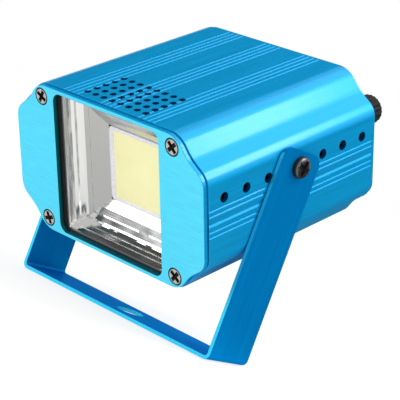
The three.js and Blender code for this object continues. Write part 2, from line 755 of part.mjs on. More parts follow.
function switchingTransistor() {
  const { width, depth, height, placeShares } = transistorSize;
  const { height: tabHeight, thickness, holeRadius } = transistorTab;
  const [x, y] = onBoard(placeShares);
  const tabMiddle = standing + height + tabHeight / 2;
  const tabPlace = [x, y + (depth - thickness) / 2, tabMiddle - height / 4];
  const tab = box([width, thickness, tabHeight + height / 2], tabPlace);
  const tabHole = rodY(holeRadius, x, y - depth, tabMiddle, depth * 2, 12);
  return join([solid(boardBlock(transistorSize)), solid(tab)]).subtract(solid(tabHole));
}

function timerChip() {
  const { width, depth, height, rise, placeShares } = chipSize;
  const { count, width: legWidth, pitch } = chipLegs;
  const [x, y] = onBoard(placeShares);
  const body = solid(box([width, depth, height], [x, y, standing + rise + height / 2]));
  const legHeight = rise + height / 2;
  const pins = [];
  for (let i = 0; i < count; i++) {
    for (const side of [-1, 1]) {
      const pin = [x + (i - (count - 1) / 2) * pitch, y + side * depth / 2, standing + legHeight / 2];
      pins.push(solid(box([legWidth, legWidth, legHeight], pin)));
    }
  }
  return join([body, ...pins]);
}

function fuse() {
  const { radius, length, cap, rim, placeShares } = fuseSize;
  const glass = radius - rim;
  const frontCap = [[0, 0], [radius, 0], [radius, cap], [glass, cap]];
  const rearCap = [[glass, length - cap], [radius, length - cap], [radius, length], [0, length]];
  return turned([...frontCap, ...rearCap], 14).translate(...onBoard(placeShares), standing + radius);
}

function terminalBlock() {
  const { width, depth, height, placeShares } = terminalSize;
  const { count, opening, screwRadius, screwDepth } = terminalWays;
  const [x, y] = onBoard(placeShares);
  const cutters = [];
  for (let i = 0; i < count; i++) {
    const wayX = x + (i - (count - 1) / 2) * width / count;
    cutters.push(solid(box([opening, depth, opening], [wayX, y + depth / 2, standing + opening])));
    cutters.push(solid(rodZ(screwRadius, wayX, y, standing + height - screwDepth, screwDepth + overrun, 12)));
  }
  return cut(solid(boardBlock(terminalSize)), cutters);
}

// The board stops short of the housing's walls, in the slots between the rails
function driverBoard() {
  return box([boardWidth, boardLength, boardThickness], [0, boardFront + boardLength / 2, boardLevel]);
}

function driverPieces() {
  place('driver_board', driverBoard(), 'laminate');
  place('transformer', transformer(), 'ferrite');
  place('input_capacitor', capacitor(inputCapacitorSize), 'can');
  place('output_capacitor', capacitor(outputCapacitorSize), 'can');
  place('bridge_rectifier', boardBlock(rectifierSize), 'epoxy');
  place('switching_transistor', switchingTransistor(), 'epoxy');
  place('timer_chip', timerChip(), 'epoxy');
  place('fuse', fuse(), 'glass');
  place('terminal_block', terminalBlock(), 'green');
}

function controlPieces() {
  const bodyFront = rearPlateFront - seatGap - controlBodyLength;
  const bushingBack = bodyFront + controlBodyLength + bushingLength;
  const shaftStart = bodyFront + controlBodyLength / 2;
  const body = solid(rodY(controlBodyRadius, controlX, bodyFront, controlLevel, controlBodyLength, 24));
  const bushing = solid(rodY(bushingRadius, controlX, bodyFront, controlLevel, bushingBack - bodyFront, 20));
  const boreStart = shaftStart - shaftGap;
  const boreLength = bushingBack + overrun - boreStart;
  const bore = solid(rodY(shaftRadius + shaftGap, controlX, boreStart, controlLevel, boreLength, 20));
  place('potentiometer_body', body.add(bushing).subtract(bore), 'aluminium');
  const shaft = rodY(shaftRadius, controlX, shaftStart, controlLevel, shaftLength, 16);
  place('potentiometer_shaft', shaft, 'zinc');
  const nutPlace = rearPlateBack + seatGap + controlNutThickness / 2;
  const nut = ring(controlNutRadius, bushingRadius + fitGap / 2, controlNutThickness, 6, 20);
  place('potentiometer_nut', geometryOf(nut).translate(controlX, nutPlace, controlLevel), 'zinc');
  const knobFront = bushingBack + fitGap;
  const shaftEnd = shaftStart + shaftLength;
  place('speed_knob', knob(knobFront, shaftEnd), 'black');
  place('control_ribbon', controlRibbon(bodyFront), 'grey');
}

// A flat strip from the board up to the control, near the board's rear edge
function controlRibbon(bodyFront) {
  const low = boardTop + fitGap;
  const high = controlLevel - controlBodyRadius - fitGap;
  const y = bodyFront + ribbonThickness * 2;
  return box([ribbonWidth, ribbonThickness, high - low], [controlX, y, (low + high) / 2]);
}

function knobRing(radius, depth, y) {
  const points = [];
  for (let i = 0; i < knobRibs * 2; i++) {
    const angle = Math.PI * i / knobRibs;
    const reach = i % 2 ? radius : radius - depth;
    points.push(new THREE.Vector3(reach * Math.cos(angle), y, reach * Math.sin(angle)));
  }
  return points;
}

function knob(front, shaftEnd) {
  const topRadius = knobTopRadius - knobBevel;
  const rings = [
    knobRing(knobSkirtRadius, 0, 0),
    knobRing(knobSkirtRadius, 0, knobSkirt * knobSkirtStraightShare),
    knobRing(knobRadius, 0, knobSkirt),
    knobRing(knobRadius, knobRibDepth, knobSkirt),
    knobRing(knobTopRadius, knobRibDepth, knobLength - knobBevel),
    knobRing(topRadius, 0, knobLength),
  ];
  const boreDepth = shaftEnd - front + fitGap;
  const bore = solid(rodY(shaftRadius + shaftGap, 0, -overrun, 0, boreDepth + overrun, 16));
  const pointerSize = [pointerWidth, pointerDepth * 2, topRadius - pointerWidth];
  const pointer = solid(box(pointerSize, [0, knobLength, topRadius / 2]));
  const body = cut(solid(loft(rings)), [bore, pointer]);
  return geometryOf(body).translate(controlX, front, controlLevel);
}

function cableGrommet() {
  const neck = plateThickness + seatGap * 2;
  const start = rearPlateFront - seatGap - inletLip;
  const chamfer = inletLip / 2;
  const lipInner = inletLipRadius - chamfer;
  const length = inletLip * 2 + neck;
  const lip = [[inletBoreRadius, 0], [lipInner, 0], [inletLipRadius, chamfer], [inletLipRadius, inletLip]];
  const half = [...lip, [inletNeckRadius, inletLip]];
  const mirrored = ([radius, y]) => [radius, length - y];
  const profile = [...half, ...half.map(mirrored).reverse(), [inletBoreRadius, 0]];
  return turned(profile, 20).translate(inletX, start, inletLevel);
}

place('bracket', bracket(), 'bracketBlue', stand);
place('housing_extrusion', housingExtrusion(), 'blue');
place('front_plate', frontPlate(), 'plateBlue');
place('rear_plate', rearPlate(), 'plateBlue');
plateScrews();
pivotHardware();
place('window_gasket', gasket(), 'black');
place('reflector', reflector(), 'mirror');
ledPieces();
ledWires();
driverPieces();
controlPieces();
place('cable_grommet', cableGrommet(), 'black');

// The origin is the middle of the whole object's outline on the surface that it stands on
strobe.updateMatrixWorld(true);
const reach = new THREE.Box3().setFromObject(stand, true);
stand.position.y = -(reach.min.y + reach.max.y) / 2;

export default strobe;
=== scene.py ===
"""The looks of a mini strobe light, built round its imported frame.

Sizes are in millimetres unless a comment says otherwise. Holes, bores, heads, shanks and necks are given by
their radius. The head's own frame has +X to the right seen from the front, +Y from the front plate's face to
the rear, and Z = 0 in the middle of the housing's height.
"""
import json
import math

import bmesh
import bpy
from mathutils import Matrix, Vector, noise


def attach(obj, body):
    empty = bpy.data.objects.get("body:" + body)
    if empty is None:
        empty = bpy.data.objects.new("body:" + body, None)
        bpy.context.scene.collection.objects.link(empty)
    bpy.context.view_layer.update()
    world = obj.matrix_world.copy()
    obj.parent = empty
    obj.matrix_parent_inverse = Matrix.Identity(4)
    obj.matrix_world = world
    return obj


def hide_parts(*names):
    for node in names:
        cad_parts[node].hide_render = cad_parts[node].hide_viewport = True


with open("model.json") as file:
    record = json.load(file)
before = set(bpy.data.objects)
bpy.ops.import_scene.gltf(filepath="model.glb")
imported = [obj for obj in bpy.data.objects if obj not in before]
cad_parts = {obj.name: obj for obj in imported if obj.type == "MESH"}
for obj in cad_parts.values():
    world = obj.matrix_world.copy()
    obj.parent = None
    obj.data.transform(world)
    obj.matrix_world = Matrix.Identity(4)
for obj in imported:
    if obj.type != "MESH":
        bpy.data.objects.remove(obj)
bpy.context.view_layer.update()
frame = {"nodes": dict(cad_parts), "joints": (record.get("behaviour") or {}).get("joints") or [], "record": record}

scene = bpy.context.scene
MM = 0.001

# Camera, in the head's own frame, against which the photograph's camera is nearly level. Angles in degrees
CAMERA_PLACE = (340.36, -289.91, 204.06)
CAMERA_AZIMUTH = 45.696
CAMERA_ELEVATION = 25.23
CAMERA_ROLL = -0.947
SENSOR_WIDTH = 36.0
FOCAL_LENGTH = 135.83

# Shared
ARC_STEP = math.radians(4)
EDGE = 0.12             # bevel of cut edges
GAP = 0.25              # between faces that rest on each other
FIT = 0.3               # round a piece that sits in a hole or slot
OVERRUN = 2.0           # how far a cutter reaches past what it cuts
SHORT_OVERRUN = 1.0     # the same for the cutters of shallow recesses
ROUND = 40              # sides of turned pieces and holes
QUADRANTS = ((1, 1), (-1, 1), (-1, -1), (1, -1))        # signs of X and Z, anticlockwise

# Limits of a face normal's share along an axis, by which faces are told apart
ALMOST_ALONG_SHARE = 0.99
MOSTLY_ALONG_SHARE = 0.9
HALF_ALONG_SHARE = 0.5
HARDLY_ALONG_SHARE = 0.3

# Degrees between two faces from which their edge is sharp
SHARP = 30
HOUSING_SHARP = 20
REFLECTOR_SHARP = 3
DAM_SHARP = 50
KNOB_SHARP = 40

# Plates and their screws
PLATE_THICKNESS = 1.5
PLATE_INSET = 0.5
REAR_PLATE_BACK = 81.4
WINDOW_HALF = 25.2
WINDOW_RADIUS = 3.2
SCREW_X = 31.3
SCREW_Z = 22.35
SCREW_HEAD = 2.95
SCREW_HEAD_HEIGHT = 1.35
SCREW_SHANK = 1.35
SCREW_LENGTH = 9.0
SCREW_RING = 0.42           # width of the sloping ring round the top of a plate screw's head, dark with painted shade
PLATE_CROSS = (2.25, 0.7, 1.1)     # reach, half width and depth of a cross recess
CROSS_FLARE_SHARE = 1.1     # of its reach, above the head's face
CROSS_FLOOR_SHARE = 0.55    # of its reach, at its floor
FRONT_SCREW_TURNS = (28, 48, -20, 40)      # degrees that each screw's cross is turned
REAR_SCREW_TURNS = (12, 65, 33, -8)

# Housing outline, seen from the front
HALF_WIDTH = 45.4
HALF_HEIGHT = 27.1
WALL = 1.6
LOBE_FROM_SCREW = 2.1       # the flat top ends this far outside the corner screws
WAIST_SHARE = 0.4083        # place of the hollow between the screw lobe and the side
WAIST_FROM_TOP = 6.6
CHEEK_FROM_TOP = 11.9       # where the slope meets the flat side
LOBE_RADIUS = 8.6
WAIST_RADIUS = 14.0
CHEEK_RADIUS = 6.4
LOBE_X = SCREW_X + LOBE_FROM_SCREW
WAIST_X = LOBE_X + (HALF_WIDTH - LOBE_X) * WAIST_SHARE
WAIST_Z = HALF_HEIGHT - WAIST_FROM_TOP
CHEEK_Z = HALF_HEIGHT - CHEEK_FROM_TOP
HOUSING_FRONT = PLATE_THICKNESS + GAP
HOUSING_BACK = REAR_PLATE_BACK - PLATE_THICKNESS - GAP

# Fine lines of the housing: how far each reaches below and above its deepest point, and how deep it is
LINE_DEPTH = 0.22
TOP_LINE = (0.375, 0.375, LINE_DEPTH)
SIDE_LINE = (0.375, 0.375, 0.19)
BROAD_LINE = (0.72, 1.9, 0.35)
TOP_GROUP_PITCH = 18
TOP_LINE_PITCH = 2.2
TOP_LINES = [group * TOP_GROUP_PITCH + line * TOP_LINE_PITCH
             for group in (-1, 0, 1) for line in (-1.5, -0.5, 0.5, 1.5)]
# Level and shape of each line on the sides
SIDE_LINES = [(-4.8, SIDE_LINE), (-3.0, SIDE_LINE), (-0.5, BROAD_LINE), (2.4, SIDE_LINE), (4.2, SIDE_LINE)]

# Vents of the housing
VENT_RADIUS = 1.2
VENT_SIDES = 24
VENT_PITCH = 3.97
VENT_COLUMNS = 8
VENT_ROWS = 5
VENT_FIRST_ROW = 5.6
SIDE_VENT_RADIUS = 1.75
SIDE_VENT_PITCH = 9.94
SIDE_VENT_FROM_PIVOT = 13.0
SIDE_VENTS_EACH_WAY = 3

# Inside the housing: screw bosses and the circuit board's rails
BOSS_RADIUS = 3.2
RAIL_DEPTH = 2.5
RAIL_THICKNESS = 1.2
RAIL_LEVELS = (-11.7, -8.3)

# Pivot and bracket
PIVOT_Y = 41.3
PIVOT_LEVEL = 7.2
PIVOT_BORE = 2.2
PIVOT_HEAD = 3.65
PIVOT_HEAD_HEIGHT = 2.0
PIVOT_SHANK = 1.9
PIVOT_LENGTH = 10.85
PIVOT_TURN = 40             # degrees
PIVOT_CROSS = (2.8, 0.72, 1.3)
# Dome of its head: (share of the radius, share of the height), from the crown
DOME_SHARES = ((0, 0), (0.5, 0), (0.7, 0.05), (0.86, 0.16), (0.95, 0.32), (0.99, 0.48), (1, 0.62), (1, 1))
STRIP_WIDTH = 20.0
STRIP_THICKNESS = 1.2
BEND_RADIUS = 2.4
ARM_OUTER = 46.9
ARM_BELOW_PIVOT = 67.8
ARM_ABOVE_PIVOT = 5.1
ARM_CORNER = 4.4
FIXING_HOLE = 4.9
FIXING_HOLE_SIDES = 64
BRACKET_BEVEL = 0.16
BRACKET_BEVEL_SEGMENTS = 2
BEVELLED_FROM = 50          # degrees between two faces

# Gasket between the front plate and the reflector
GASKET_FRONT = PLATE_THICKNESS + GAP
GASKET_THICKNESS = 0.4
GASKET_HALVES = (27.8, 25.2)
GASKET_RADIUS = 3.0
GASKET_OPENING = 24.8

# Reflector, from its mouth to its throat
OPTICS_X = 0.8              # middle of the reflector and of the light-emitting face
MOUTH_HALF = 24.4
THROAT_HALF = 13.6
MOUTH_Y = 2.4
REFLECTOR_DEPTH = 10.6
REFLECTOR_WALL = 0.8
MOUTH_LIP = (0.3, 0.25)     # width and depth of the edge of the mouth
# Creases between the facets: (share of the depth, share of the way in)
FACET_SHARES = [(0, 0), (0.2, 0.06), (0.36, 0.13), (0.52, 0.21), (0.61, 0.3), (1, 1)]
# Relief of each facet: (share of its width, height towards the axis)
NARROW_RELIEF = [(0.4, -0.1), (1, 0)]
WIDE_RELIEF = [(0.2, 0.05), (0.22, 0.2), (0.27, 0.15), (0.55, 0.29), (1, 0)]
WIDE_FACET = 4              # the only one with the wide relief
STEP_SLOPE = 42             # degrees of the narrow facets' steps above and below the light
WAVE_HEIGHT = 0.1           # of the film's waves along each wall
CALM_SHARE = 0.2            # of that height next to the light
CALM_FROM_SHARE = 0.5       # of the wide facet's width
WAVES_EACH_WALL = 9
WALL_STEPS = 48
NOISE_OFFSET = 0.5          # since noise is nought at whole numbers
NOISE_ROW = 3.7             # between the noise of one ring and that of the next

# Light-emitting face
LED_FRONT = 13.0
PHOSPHOR_HALVES = (11.3, 12.1)
DAM_HALF = 13.5
DAM_RADIUS = 1.5
# Its section: (share of the way from its edge to the phosphor, height over its foot)
DAM_BEAD = [(0, -0.7), (0, 0.1), (0.15, 0.3), (0.4, 0.42), (0.65, 0.36), (0.85, 0.2), (1, 0.02), (1, -0.3)]

# Speed control and cable inlet
CONTROL_X = 31.2
CONTROL_LEVEL = 7.2
BUSHING_BORE = 3.8
KNOB_FRONT = 84.95
KNOB_LENGTH = 11.4
KNOB_RADIUS = 5.9
KNOB_TOP_RADIUS = 5.2
KNOB_SKIRT_RADIUS = 6.4
KNOB_SKIRT_HEIGHT = 1.8
KNOB_SKIRT_EDGE_SHARE = 0.7     # of the skirt's height, up to where it slopes in
KNOB_RIBS = 20
KNOB_RIB_DEPTH = 0.35
KNOB_RIB_STEPS = 8
KNOB_RIB_FULLNESS = 0.7         # power of a cosine: under 1 makes the valleys between the ribs wider
KNOB_BEVEL = 0.7
KNOB_BEVEL_SHARE = 0.3          # of the bevel, where it turns
KNOB_BORE = 3.25
KNOB_BORE_DEPTH = 7.0
POINTER_HALF = 0.5
POINTER_DEPTH = 0.3
POINTER_MARGIN = 0.5
INLET_X = -26.0
INLET_LEVEL = -4.0
INLET_BORE = 2.4
INLET_NECK = 4.0
INLET_LIP_RADIUS = 5.6
INLET_LIP = 1.5
INLET_SIDES = 48
INLET_ARC_STEPS = 6

record = frame["record"]
slot_of = {part["node"]: part["material_slot"] for part in record["subparts"]}
body_of = {node: body for body, nodes in record["behaviour"]["bodies"].items() for node in nodes}
joint_of = {joint["name"]: joint for joint in frame["joints"]}


def head_matrix():
    """From the head's own frame to the part's, found from the knob's axis and the front plate."""
    axis = joint_of["speed_knob_turn"]["axis"]
    turn = Matrix.Rotation(math.atan2(axis[2], axis[1]), 4, "X")
    turned_back = [turn.inverted() @ vertex.co for vertex in frame["nodes"]["front_plate"].data.vertices]
    face = min(point.y for point in turned_back)
    levels = [point.z for point in turned_back]
    return turn @ Matrix.Translation((0, face, (min(levels) + max(levels)) / 2))


HEAD = head_matrix()
STAND = Matrix.Translation((0, joint_of["head_tilt"]["pos_m"][1], 0))


# Outlines in the X-Z plane, anticlockwise seen from the front

def inset(corners, distance):
    """Corners (x, z, radius) of the outline moved in by a distance."""
    moved = []
    for index, (x, z, radius) in enumerate(corners):
        corner = Vector((x, z))
        into = (corner - Vector(corners[index - 1][:2])).normalized()
        out = (Vector(corners[(index + 1) % len(corners)][:2]) - corner).normalized()
        turn = into.cross(out)
        start_in = corner + Vector((-into.y, into.x)) * distance
        start_out = corner + Vector((-out.y, out.x)) * distance
        point = start_in + into * ((start_out - start_in).cross(out) / turn)
        moved.append((point.x, point.y, max(radius - math.copysign(distance, turn), 0)))
    return moved


def rounded(corners):
    """Points of the outline through the corners, with a fine arc at each."""
    points = []
    for index, (x, z, radius) in enumerate(corners):
        corner = Vector((x, z))
        into = (corner - Vector(corners[index - 1][:2])).normalized()
        out = (Vector(corners[(index + 1) % len(corners)][:2]) - corner).normalized()
        turn = math.atan2(into.cross(out), into.dot(out))
        if not radius:
            points.append(corner)
            continue
        side = math.copysign(1, turn)
        first = corner - into * radius * math.tan(abs(turn) / 2)
        centre = first + Vector((-into.y, into.x)) * radius * side
        steps = max(math.ceil(abs(turn) / ARC_STEP), 1)
        for step in range(steps + 1):
            points.append(centre + Matrix.Rotation(turn * step / steps, 2) @ (first - centre))
    return points


def moved_in(points, distance):
    """The same points moved in by a distance, one for one."""
    result = []
    for index, point in enumerate(points):
        into = (point - points[index - 1]).normalized()
        out = (points[(index + 1) % len(points)] - point).normalized()
        normal = Vector((-into.y, into.x)) + Vector((-out.y, out.x))
        result.append(point + normal.normalized() * min(2 * distance / normal.length, 2 * distance))
    return result


def mirrored(quarter):
    """The corners (x, z, anything more) of the first quarter, and the same in the other three."""
    corners = []
    for i, k in QUADRANTS:
        part = [(x * i, z * k, *more) for x, z, *more in quarter]
        corners += part if i * k > 0 else part[::-1]
    return corners


def housing_corners():
    return mirrored([(HALF_WIDTH, CHEEK_Z, CHEEK_RADIUS), (WAIST_X, WAIST_Z, WAIST_RADIUS),
                     (LOBE_X, HALF_HEIGHT, LOBE_RADIUS)])


def with_lines(points):
    """Adds the V-shaped lines to the top and the two sides of the housing's outline."""
    result = []
    for point, following in zip(points, points[1:] + points[:1]):
        result.append(point)
        marks = []
        if abs(following.x - point.x) > LOBE_X and point.y > 0:
            marks = [(Vector((x, HALF_HEIGHT)), TOP_LINE) for x in TOP_LINES]
        elif abs(following.y - point.y) > CHEEK_Z:
            marks = [(Vector((point.x, z)), shape) for z, shape in SIDE_LINES]
        along = (following - point).normalized()
        inward = Vector((-along.y, along.x))
        for middle, (below, above, depth) in sorted(marks, key=lambda mark: (mark[0] - point).dot(along)):
            before, after = (below, above) if along.y > 0 else (above, below)
            result += [middle - along * before, middle + inward * depth, middle + along * after]
    return result


def rectangle(half_width, half_height, radius, x=0, z=0):
    return [(x + half_width * i, z + half_height * k, radius) for i, k in QUADRANTS]


# Meshes

def mesh_object(name, rings, closed=False):
    """A solid from rings of as many points each, with capped ends, unless the last ring meets the first."""
    shape = bmesh.new()
    loops = [[shape.verts.new(point) for point in ring] for ring in rings]
    pairs = list(zip(loops, loops[1:] + loops[:1] if closed else loops[1:]))
    for loop, following in pairs:
        for index in range(len(loop)):
            after = (index + 1) % len(loop)
            shape.faces.new((loop[index], loop[after], following[after], following[index]))
    if not closed:
        caps = [shape.faces.new(loops[0][::-1]), shape.faces.new(loops[-1])]
        bmesh.ops.triangulate(shape, faces=caps)
    bmesh.ops.recalc_face_normals(shape, faces=shape.faces)
    mesh = bpy.data.meshes.new(name)
    shape.to_mesh(mesh)
    shape.free()
    made = bpy.data.objects.new(name, mesh)
    scene.collection.objects.link(made)
    return made


def prism(name, outlines):
    """A solid from (depth along Y, outline points) pairs."""
    return mesh_object(name, [[(point.x, y, point.y) for point in points] for y, points in outlines])


def bevelled_prism(name, points, front, back):
    rim = moved_in(points, EDGE)
    return prism(name, [(front, rim), (front + EDGE, points), (back - EDGE, points), (back, rim)])


def turned(name, profile, sides=ROUND):
    """A solid of revolution round +Y from (radius, depth) pairs, whose ends lie on the axis or meet."""
    shape = bmesh.new()
    vertices = [shape.verts.new((radius, y, 0)) for radius, y in profile]
    edges = [shape.edges.new(pair) for pair in zip(vertices, vertices[1:])]
    bmesh.ops.spin(shape, geom=vertices + edges, cent=(0, 0, 0), axis=(0, 1, 0),
                   angle=math.tau, steps=sides)
    bmesh.ops.remove_doubles(shape, verts=shape.verts, dist=EDGE / 100)
    bmesh.ops.recalc_face_normals(shape, faces=shape.faces)
    mesh = bpy.data.meshes.new(name)
    shape.to_mesh(mesh)
    shape.free()
    made = bpy.data.objects.new(name, mesh)
    scene.collection.objects.link(made)
    return made


def rod(radius, length, sides=ROUND):
    return turned("rod", [(0, 0), (radius, 0), (radius, length), (0, length)], sides)


def moved(made, matrix):
    made.data.transform(matrix)
    return made


def along_x(made, x, y, z):
    """Turns a piece that reaches along +Y so that it reaches along +X from a place."""
    return moved(made, Matrix.Translation((x, y, z)) @ Matrix.Rotation(-math.pi / 2, 4, "Z"))


def gathered(parts):
    """One object of several that don't touch each other."""
    shape = bmesh.new()
    for part in parts:
        shape.from_mesh(part.data)
        bpy.data.objects.remove(part)
    mesh = bpy.data.meshes.new("gathered")
    shape.to_mesh(mesh)
    shape.free()
    made = bpy.data.objects.new("gathered", mesh)
    scene.collection.objects.link(made)
    return made


def carve(made, tool, operation="DIFFERENCE"):
    """Applies the tool to the solid and removes the tool."""
    change = made.modifiers.new("carve", "BOOLEAN")
    change.operation = operation
    change.solver = "MANIFOLD"
    change.object = tool
    shaped = bpy.data.meshes.new_from_object(made.evaluated_get(bpy.context.evaluated_depsgraph_get()))
    made.modifiers.clear()
    made.data = shaped
    bpy.data.objects.remove(tool)
    return made


# Materials

NOISE_RANGE = (0.3, 0.7)                # within which a noise value mostly lies
DYED_METALLIC_SHARE = 0.5
DYED_SHEEN = (0.03, 0.45, 0.85, 1)
COAT_ROUGHNESS = 0.18

# How far each kind of material spreads either way: a share of its colour, and its roughness
BRUSHED_SPREAD = (0.07, 0.04)
METAL_SPREAD = (0.1, 0.07)
MOULDED_SPREAD = (0.12, 0.05)
FILM_ROUGHNESS_SPREAD = 0.04

# Reliefs: heights in millimetres, and shares of their full strength
BRUSHED_RELIEF = 0.002
GEL_RELIEF = 0.02
GRAIN_STRENGTH_SHARE = 0.4
FILM_STRENGTH_SHARE = 0.7
GEL_STRENGTH_SHARE = 0.3


def surface(name, colour, metallic, roughness, **sockets):
    """A material whose fixed values stand on its shader's own sockets."""
    made = bpy.data.materials.new(name)
    made.use_nodes = True
    shader = made.node_tree.nodes["Principled BSDF"]
    values = {"Base Color": (*colour, 1), "Metallic": metallic, "Roughness": roughness}
    values.update({key.replace("_", " "): value for key, value in sockets.items()})
    for socket, value in values.items():
        shader.inputs[socket].default_value = value
    return made


def grain(made, scales, detail=3.0):
    """Noise in the piece's own axes, with so many waves per metre along each."""
    nodes, links = made.node_tree.nodes, made.node_tree.links
    place = nodes.new("ShaderNodeTexCoord")
    stretch = nodes.new("ShaderNodeMapping")
    stretch.inputs["Scale"].default_value = scales
    pattern = nodes.new("ShaderNodeTexNoise")
    pattern.inputs["Scale"].default_value = 1
    pattern.inputs["Detail"].default_value = detail
    links.new(place.outputs["Object"], stretch.inputs["Vector"])
    links.new(stretch.outputs["Vector"], pattern.inputs["Vector"])
    return pattern.outputs["Fac"]


def vary(made, value, socket, low, high):
    """Spreads a noise value over a range of one of the shader's sockets."""
    nodes, links = made.node_tree.nodes, made.node_tree.links
    spread = nodes.new("ShaderNodeMapRange")
    spread.inputs["From Min"].default_value = NOISE_RANGE[0]
    spread.inputs["From Max"].default_value = NOISE_RANGE[1]
    spread.inputs["To Min"].default_value = low
    spread.inputs["To Max"].default_value = high
    links.new(value, spread.inputs["Value"])
    links.new(spread.outputs["Result"], nodes["Principled BSDF"].inputs[socket])


def tint(made, value, dark, light):
    """Spreads a noise value over two colours."""
    nodes, links = made.node_tree.nodes, made.node_tree.links
    ramp = nodes.new("ShaderNodeValToRGB")
    for element, position, colour in zip(ramp.color_ramp.elements, NOISE_RANGE, (dark, light)):
        element.position = position
        element.color = (*colour, 1)
    links.new(value, ramp.inputs["Fac"])
    links.new(ramp.outputs["Color"], nodes["Principled BSDF"].inputs["Base Color"])


def relief(made, value, height, strength):
    """Bumps of a height in millimetres."""
    nodes, links = made.node_tree.nodes, made.node_tree.links
    bump = nodes.new("ShaderNodeBump")
    bump.inputs["Distance"].default_value = height * MM
    bump.inputs["Strength"].default_value = strength
    links.new(value, bump.inputs["Height"])
    links.new(bump.outputs["Normal"], nodes["Principled BSDF"].inputs["Normal"])


def shades(colour, share):
    """Two colours, darker and lighter than the given one by a share."""
    return [tuple(min(max(part * factor, 0), 1) for part in colour) for factor in (1 - share, 1 + share)]


def mottle(made, value, colour, roughness, spread):
    """Spreads a noise value over the shades and the roughness on both sides of the given ones."""
    colour_share, roughness_spread = spread
    tint(made, value, *shades(colour, colour_share))
    vary(made, value, "Roughness", roughness - roughness_spread, roughness + roughness_spread)


def anodised(name, colour, scales, roughness, coat):
    """Brushed and dyed aluminium, its brush marks long in the direction with the fewest waves."""
    made = surface(name, colour, DYED_METALLIC_SHARE, roughness, Specular_Tint=DYED_SHEEN,
                   Specular_IOR_Level=0.0, Coat_Weight=coat, Coat_Roughness=COAT_ROUGHNESS)
    marks = grain(made, scales)
    mottle(made, marks, colour, roughness, BRUSHED_SPREAD)
    relief(made, marks, BRUSHED_RELIEF, GRAIN_STRENGTH_SHARE)
    return made


def bare_metal(name, colour, roughness, scales=(600, 600, 600)):
    made = surface(name, colour, 1, roughness)
    marks = grain(made, scales)
    mottle(made, marks, colour, roughness, METAL_SPREAD)
    return made


def moulded(name, colour, roughness, height=0.01, scales=(1500, 1500, 1500), **sockets):
    """Plastic, rubber or ceramic with a fine surface grain."""
    made = surface(name, colour, 0, roughness, **sockets)
    marks = grain(made, scales)
    mottle(made, marks, colour, roughness, MOULDED_SPREAD)
    relief(made, marks, height, GRAIN_STRENGTH_SHARE)
    return made


def mirror_film(name, colour, roughness, scales, height):
    """Metallised plastic: nearly a mirror, with slight waves of a height in millimetres."""
    made = surface(name, colour, 1, roughness)
    waves = grain(made, scales, 2)
    vary(made, waves, "Roughness", roughness - FILM_ROUGHNESS_SPREAD, roughness + FILM_ROUGHNESS_SPREAD)
    relief(made, waves, height, FILM_STRENGTH_SHARE)
    return made


def phosphor_gel():
    made = surface("phosphor_yellow", (0.92, 0.88, 0.47), 0, 0.6)
    marks = grain(made, (150, 150, 150))
    tint(made, marks, (0.9, 0.86, 0.45), (0.94, 0.9, 0.5))
    relief(made, marks, GEL_RELIEF, GEL_STRENGTH_SHARE)
    return made


def all_materials():
    return {
        "housing_blue": anodised("housing_blue", (0.003, 0.335, 0.66), (1600, 30, 1600), 0.48, 0.45),
        "plate_cyan": anodised("plate_cyan", (0.08, 0.67, 0.9), (110, 1500, 1500), 0.4, 0.5),
        "bracket_blue": anodised("bracket_blue", (0.001, 0.225, 0.575), (1200, 1200, 15), 0.4, 0.0),
        "zinc_steel": bare_metal("zinc_steel", (0.5, 0.48, 0.44), 0.28),
        "dark_nickel": bare_metal("dark_nickel", (0.12, 0.12, 0.122), 0.34),
        "black_rubber": moulded("black_rubber", (0.01, 0.01, 0.011), 0.55, Specular_IOR_Level=0.3),
        "black_plastic": moulded("black_plastic", (0.005, 0.005, 0.006), 0.38, Specular_IOR_Level=0.12),
        "reflector_silver": mirror_film("reflector_silver", (0.67, 0.68, 0.68), 0.12, (60, 300, 600), 0.05),
        "white_plastic": moulded("white_plastic", (0.8, 0.79, 0.84), 0.4),
        "phosphor_yellow": phosphor_gel(),
        "bare_aluminium": bare_metal("bare_aluminium", (0.66, 0.67, 0.69), 0.38, (800, 20, 800)),
        "laminate_green": moulded("laminate_green", (0.012, 0.13, 0.035), 0.35),
        "ferrite": moulded("ferrite", (0.035, 0.035, 0.038), 0.6, 0.03),
        "capacitor_sleeve": moulded("capacitor_sleeve", (0.012, 0.015, 0.035), 0.3),
        "black_epoxy": moulded("black_epoxy", (0.01, 0.01, 0.011), 0.45),
        "fuse_glass": surface("fuse_glass", (0.9, 0.95, 0.95), 0, 0.06, Transmission_Weight=1.0),
        "terminal_green": moulded("terminal_green", (0.02, 0.26, 0.09), 0.4),
        "wire_red": moulded("wire_red", (0.42, 0.01, 0.008), 0.42),
        "wire_black": moulded("wire_black", (0.012, 0.012, 0.012), 0.42),
        "ribbon_grey": moulded("ribbon_grey", (0.26, 0.27, 0.29), 0.5),
    }


materials = all_materials()
# Painted shade inside the screws' cross recesses
recess_painted_shade = surface("recess_painted_shade", (0.008, 0.008, 0.009), 0, 0.6, Specular_IOR_Level=0.2)
# Painted shade on the sloping ring and the sides of the screw heads
head_painted_shade = surface("head_painted_shade", (0.02, 0.02, 0.022), 0.6, 0.45, Specular_IOR_Level=0.3)
# Painted shade on the walls of the vents and of the holes through the sides
vent_wall_painted_shade = anodised("vent_wall_painted_shade", (0.002, 0.075, 0.25), (1200, 1200, 1200), 0.45, 0.0)
# Painted highlight: a paler copy of the bracket blue for its cut edges and fixing hole
bracket_painted_highlight = anodised("bracket_painted_highlight", (0.03, 0.5, 0.75), (1200, 1200, 15), 0.4, 0.2)
# Painted shade on the walls of the plates' window and countersinks
window_painted_shade = anodised("window_painted_shade", (0.002, 0.1, 0.12), (1600, 20, 1600), 0.4, 0.1)
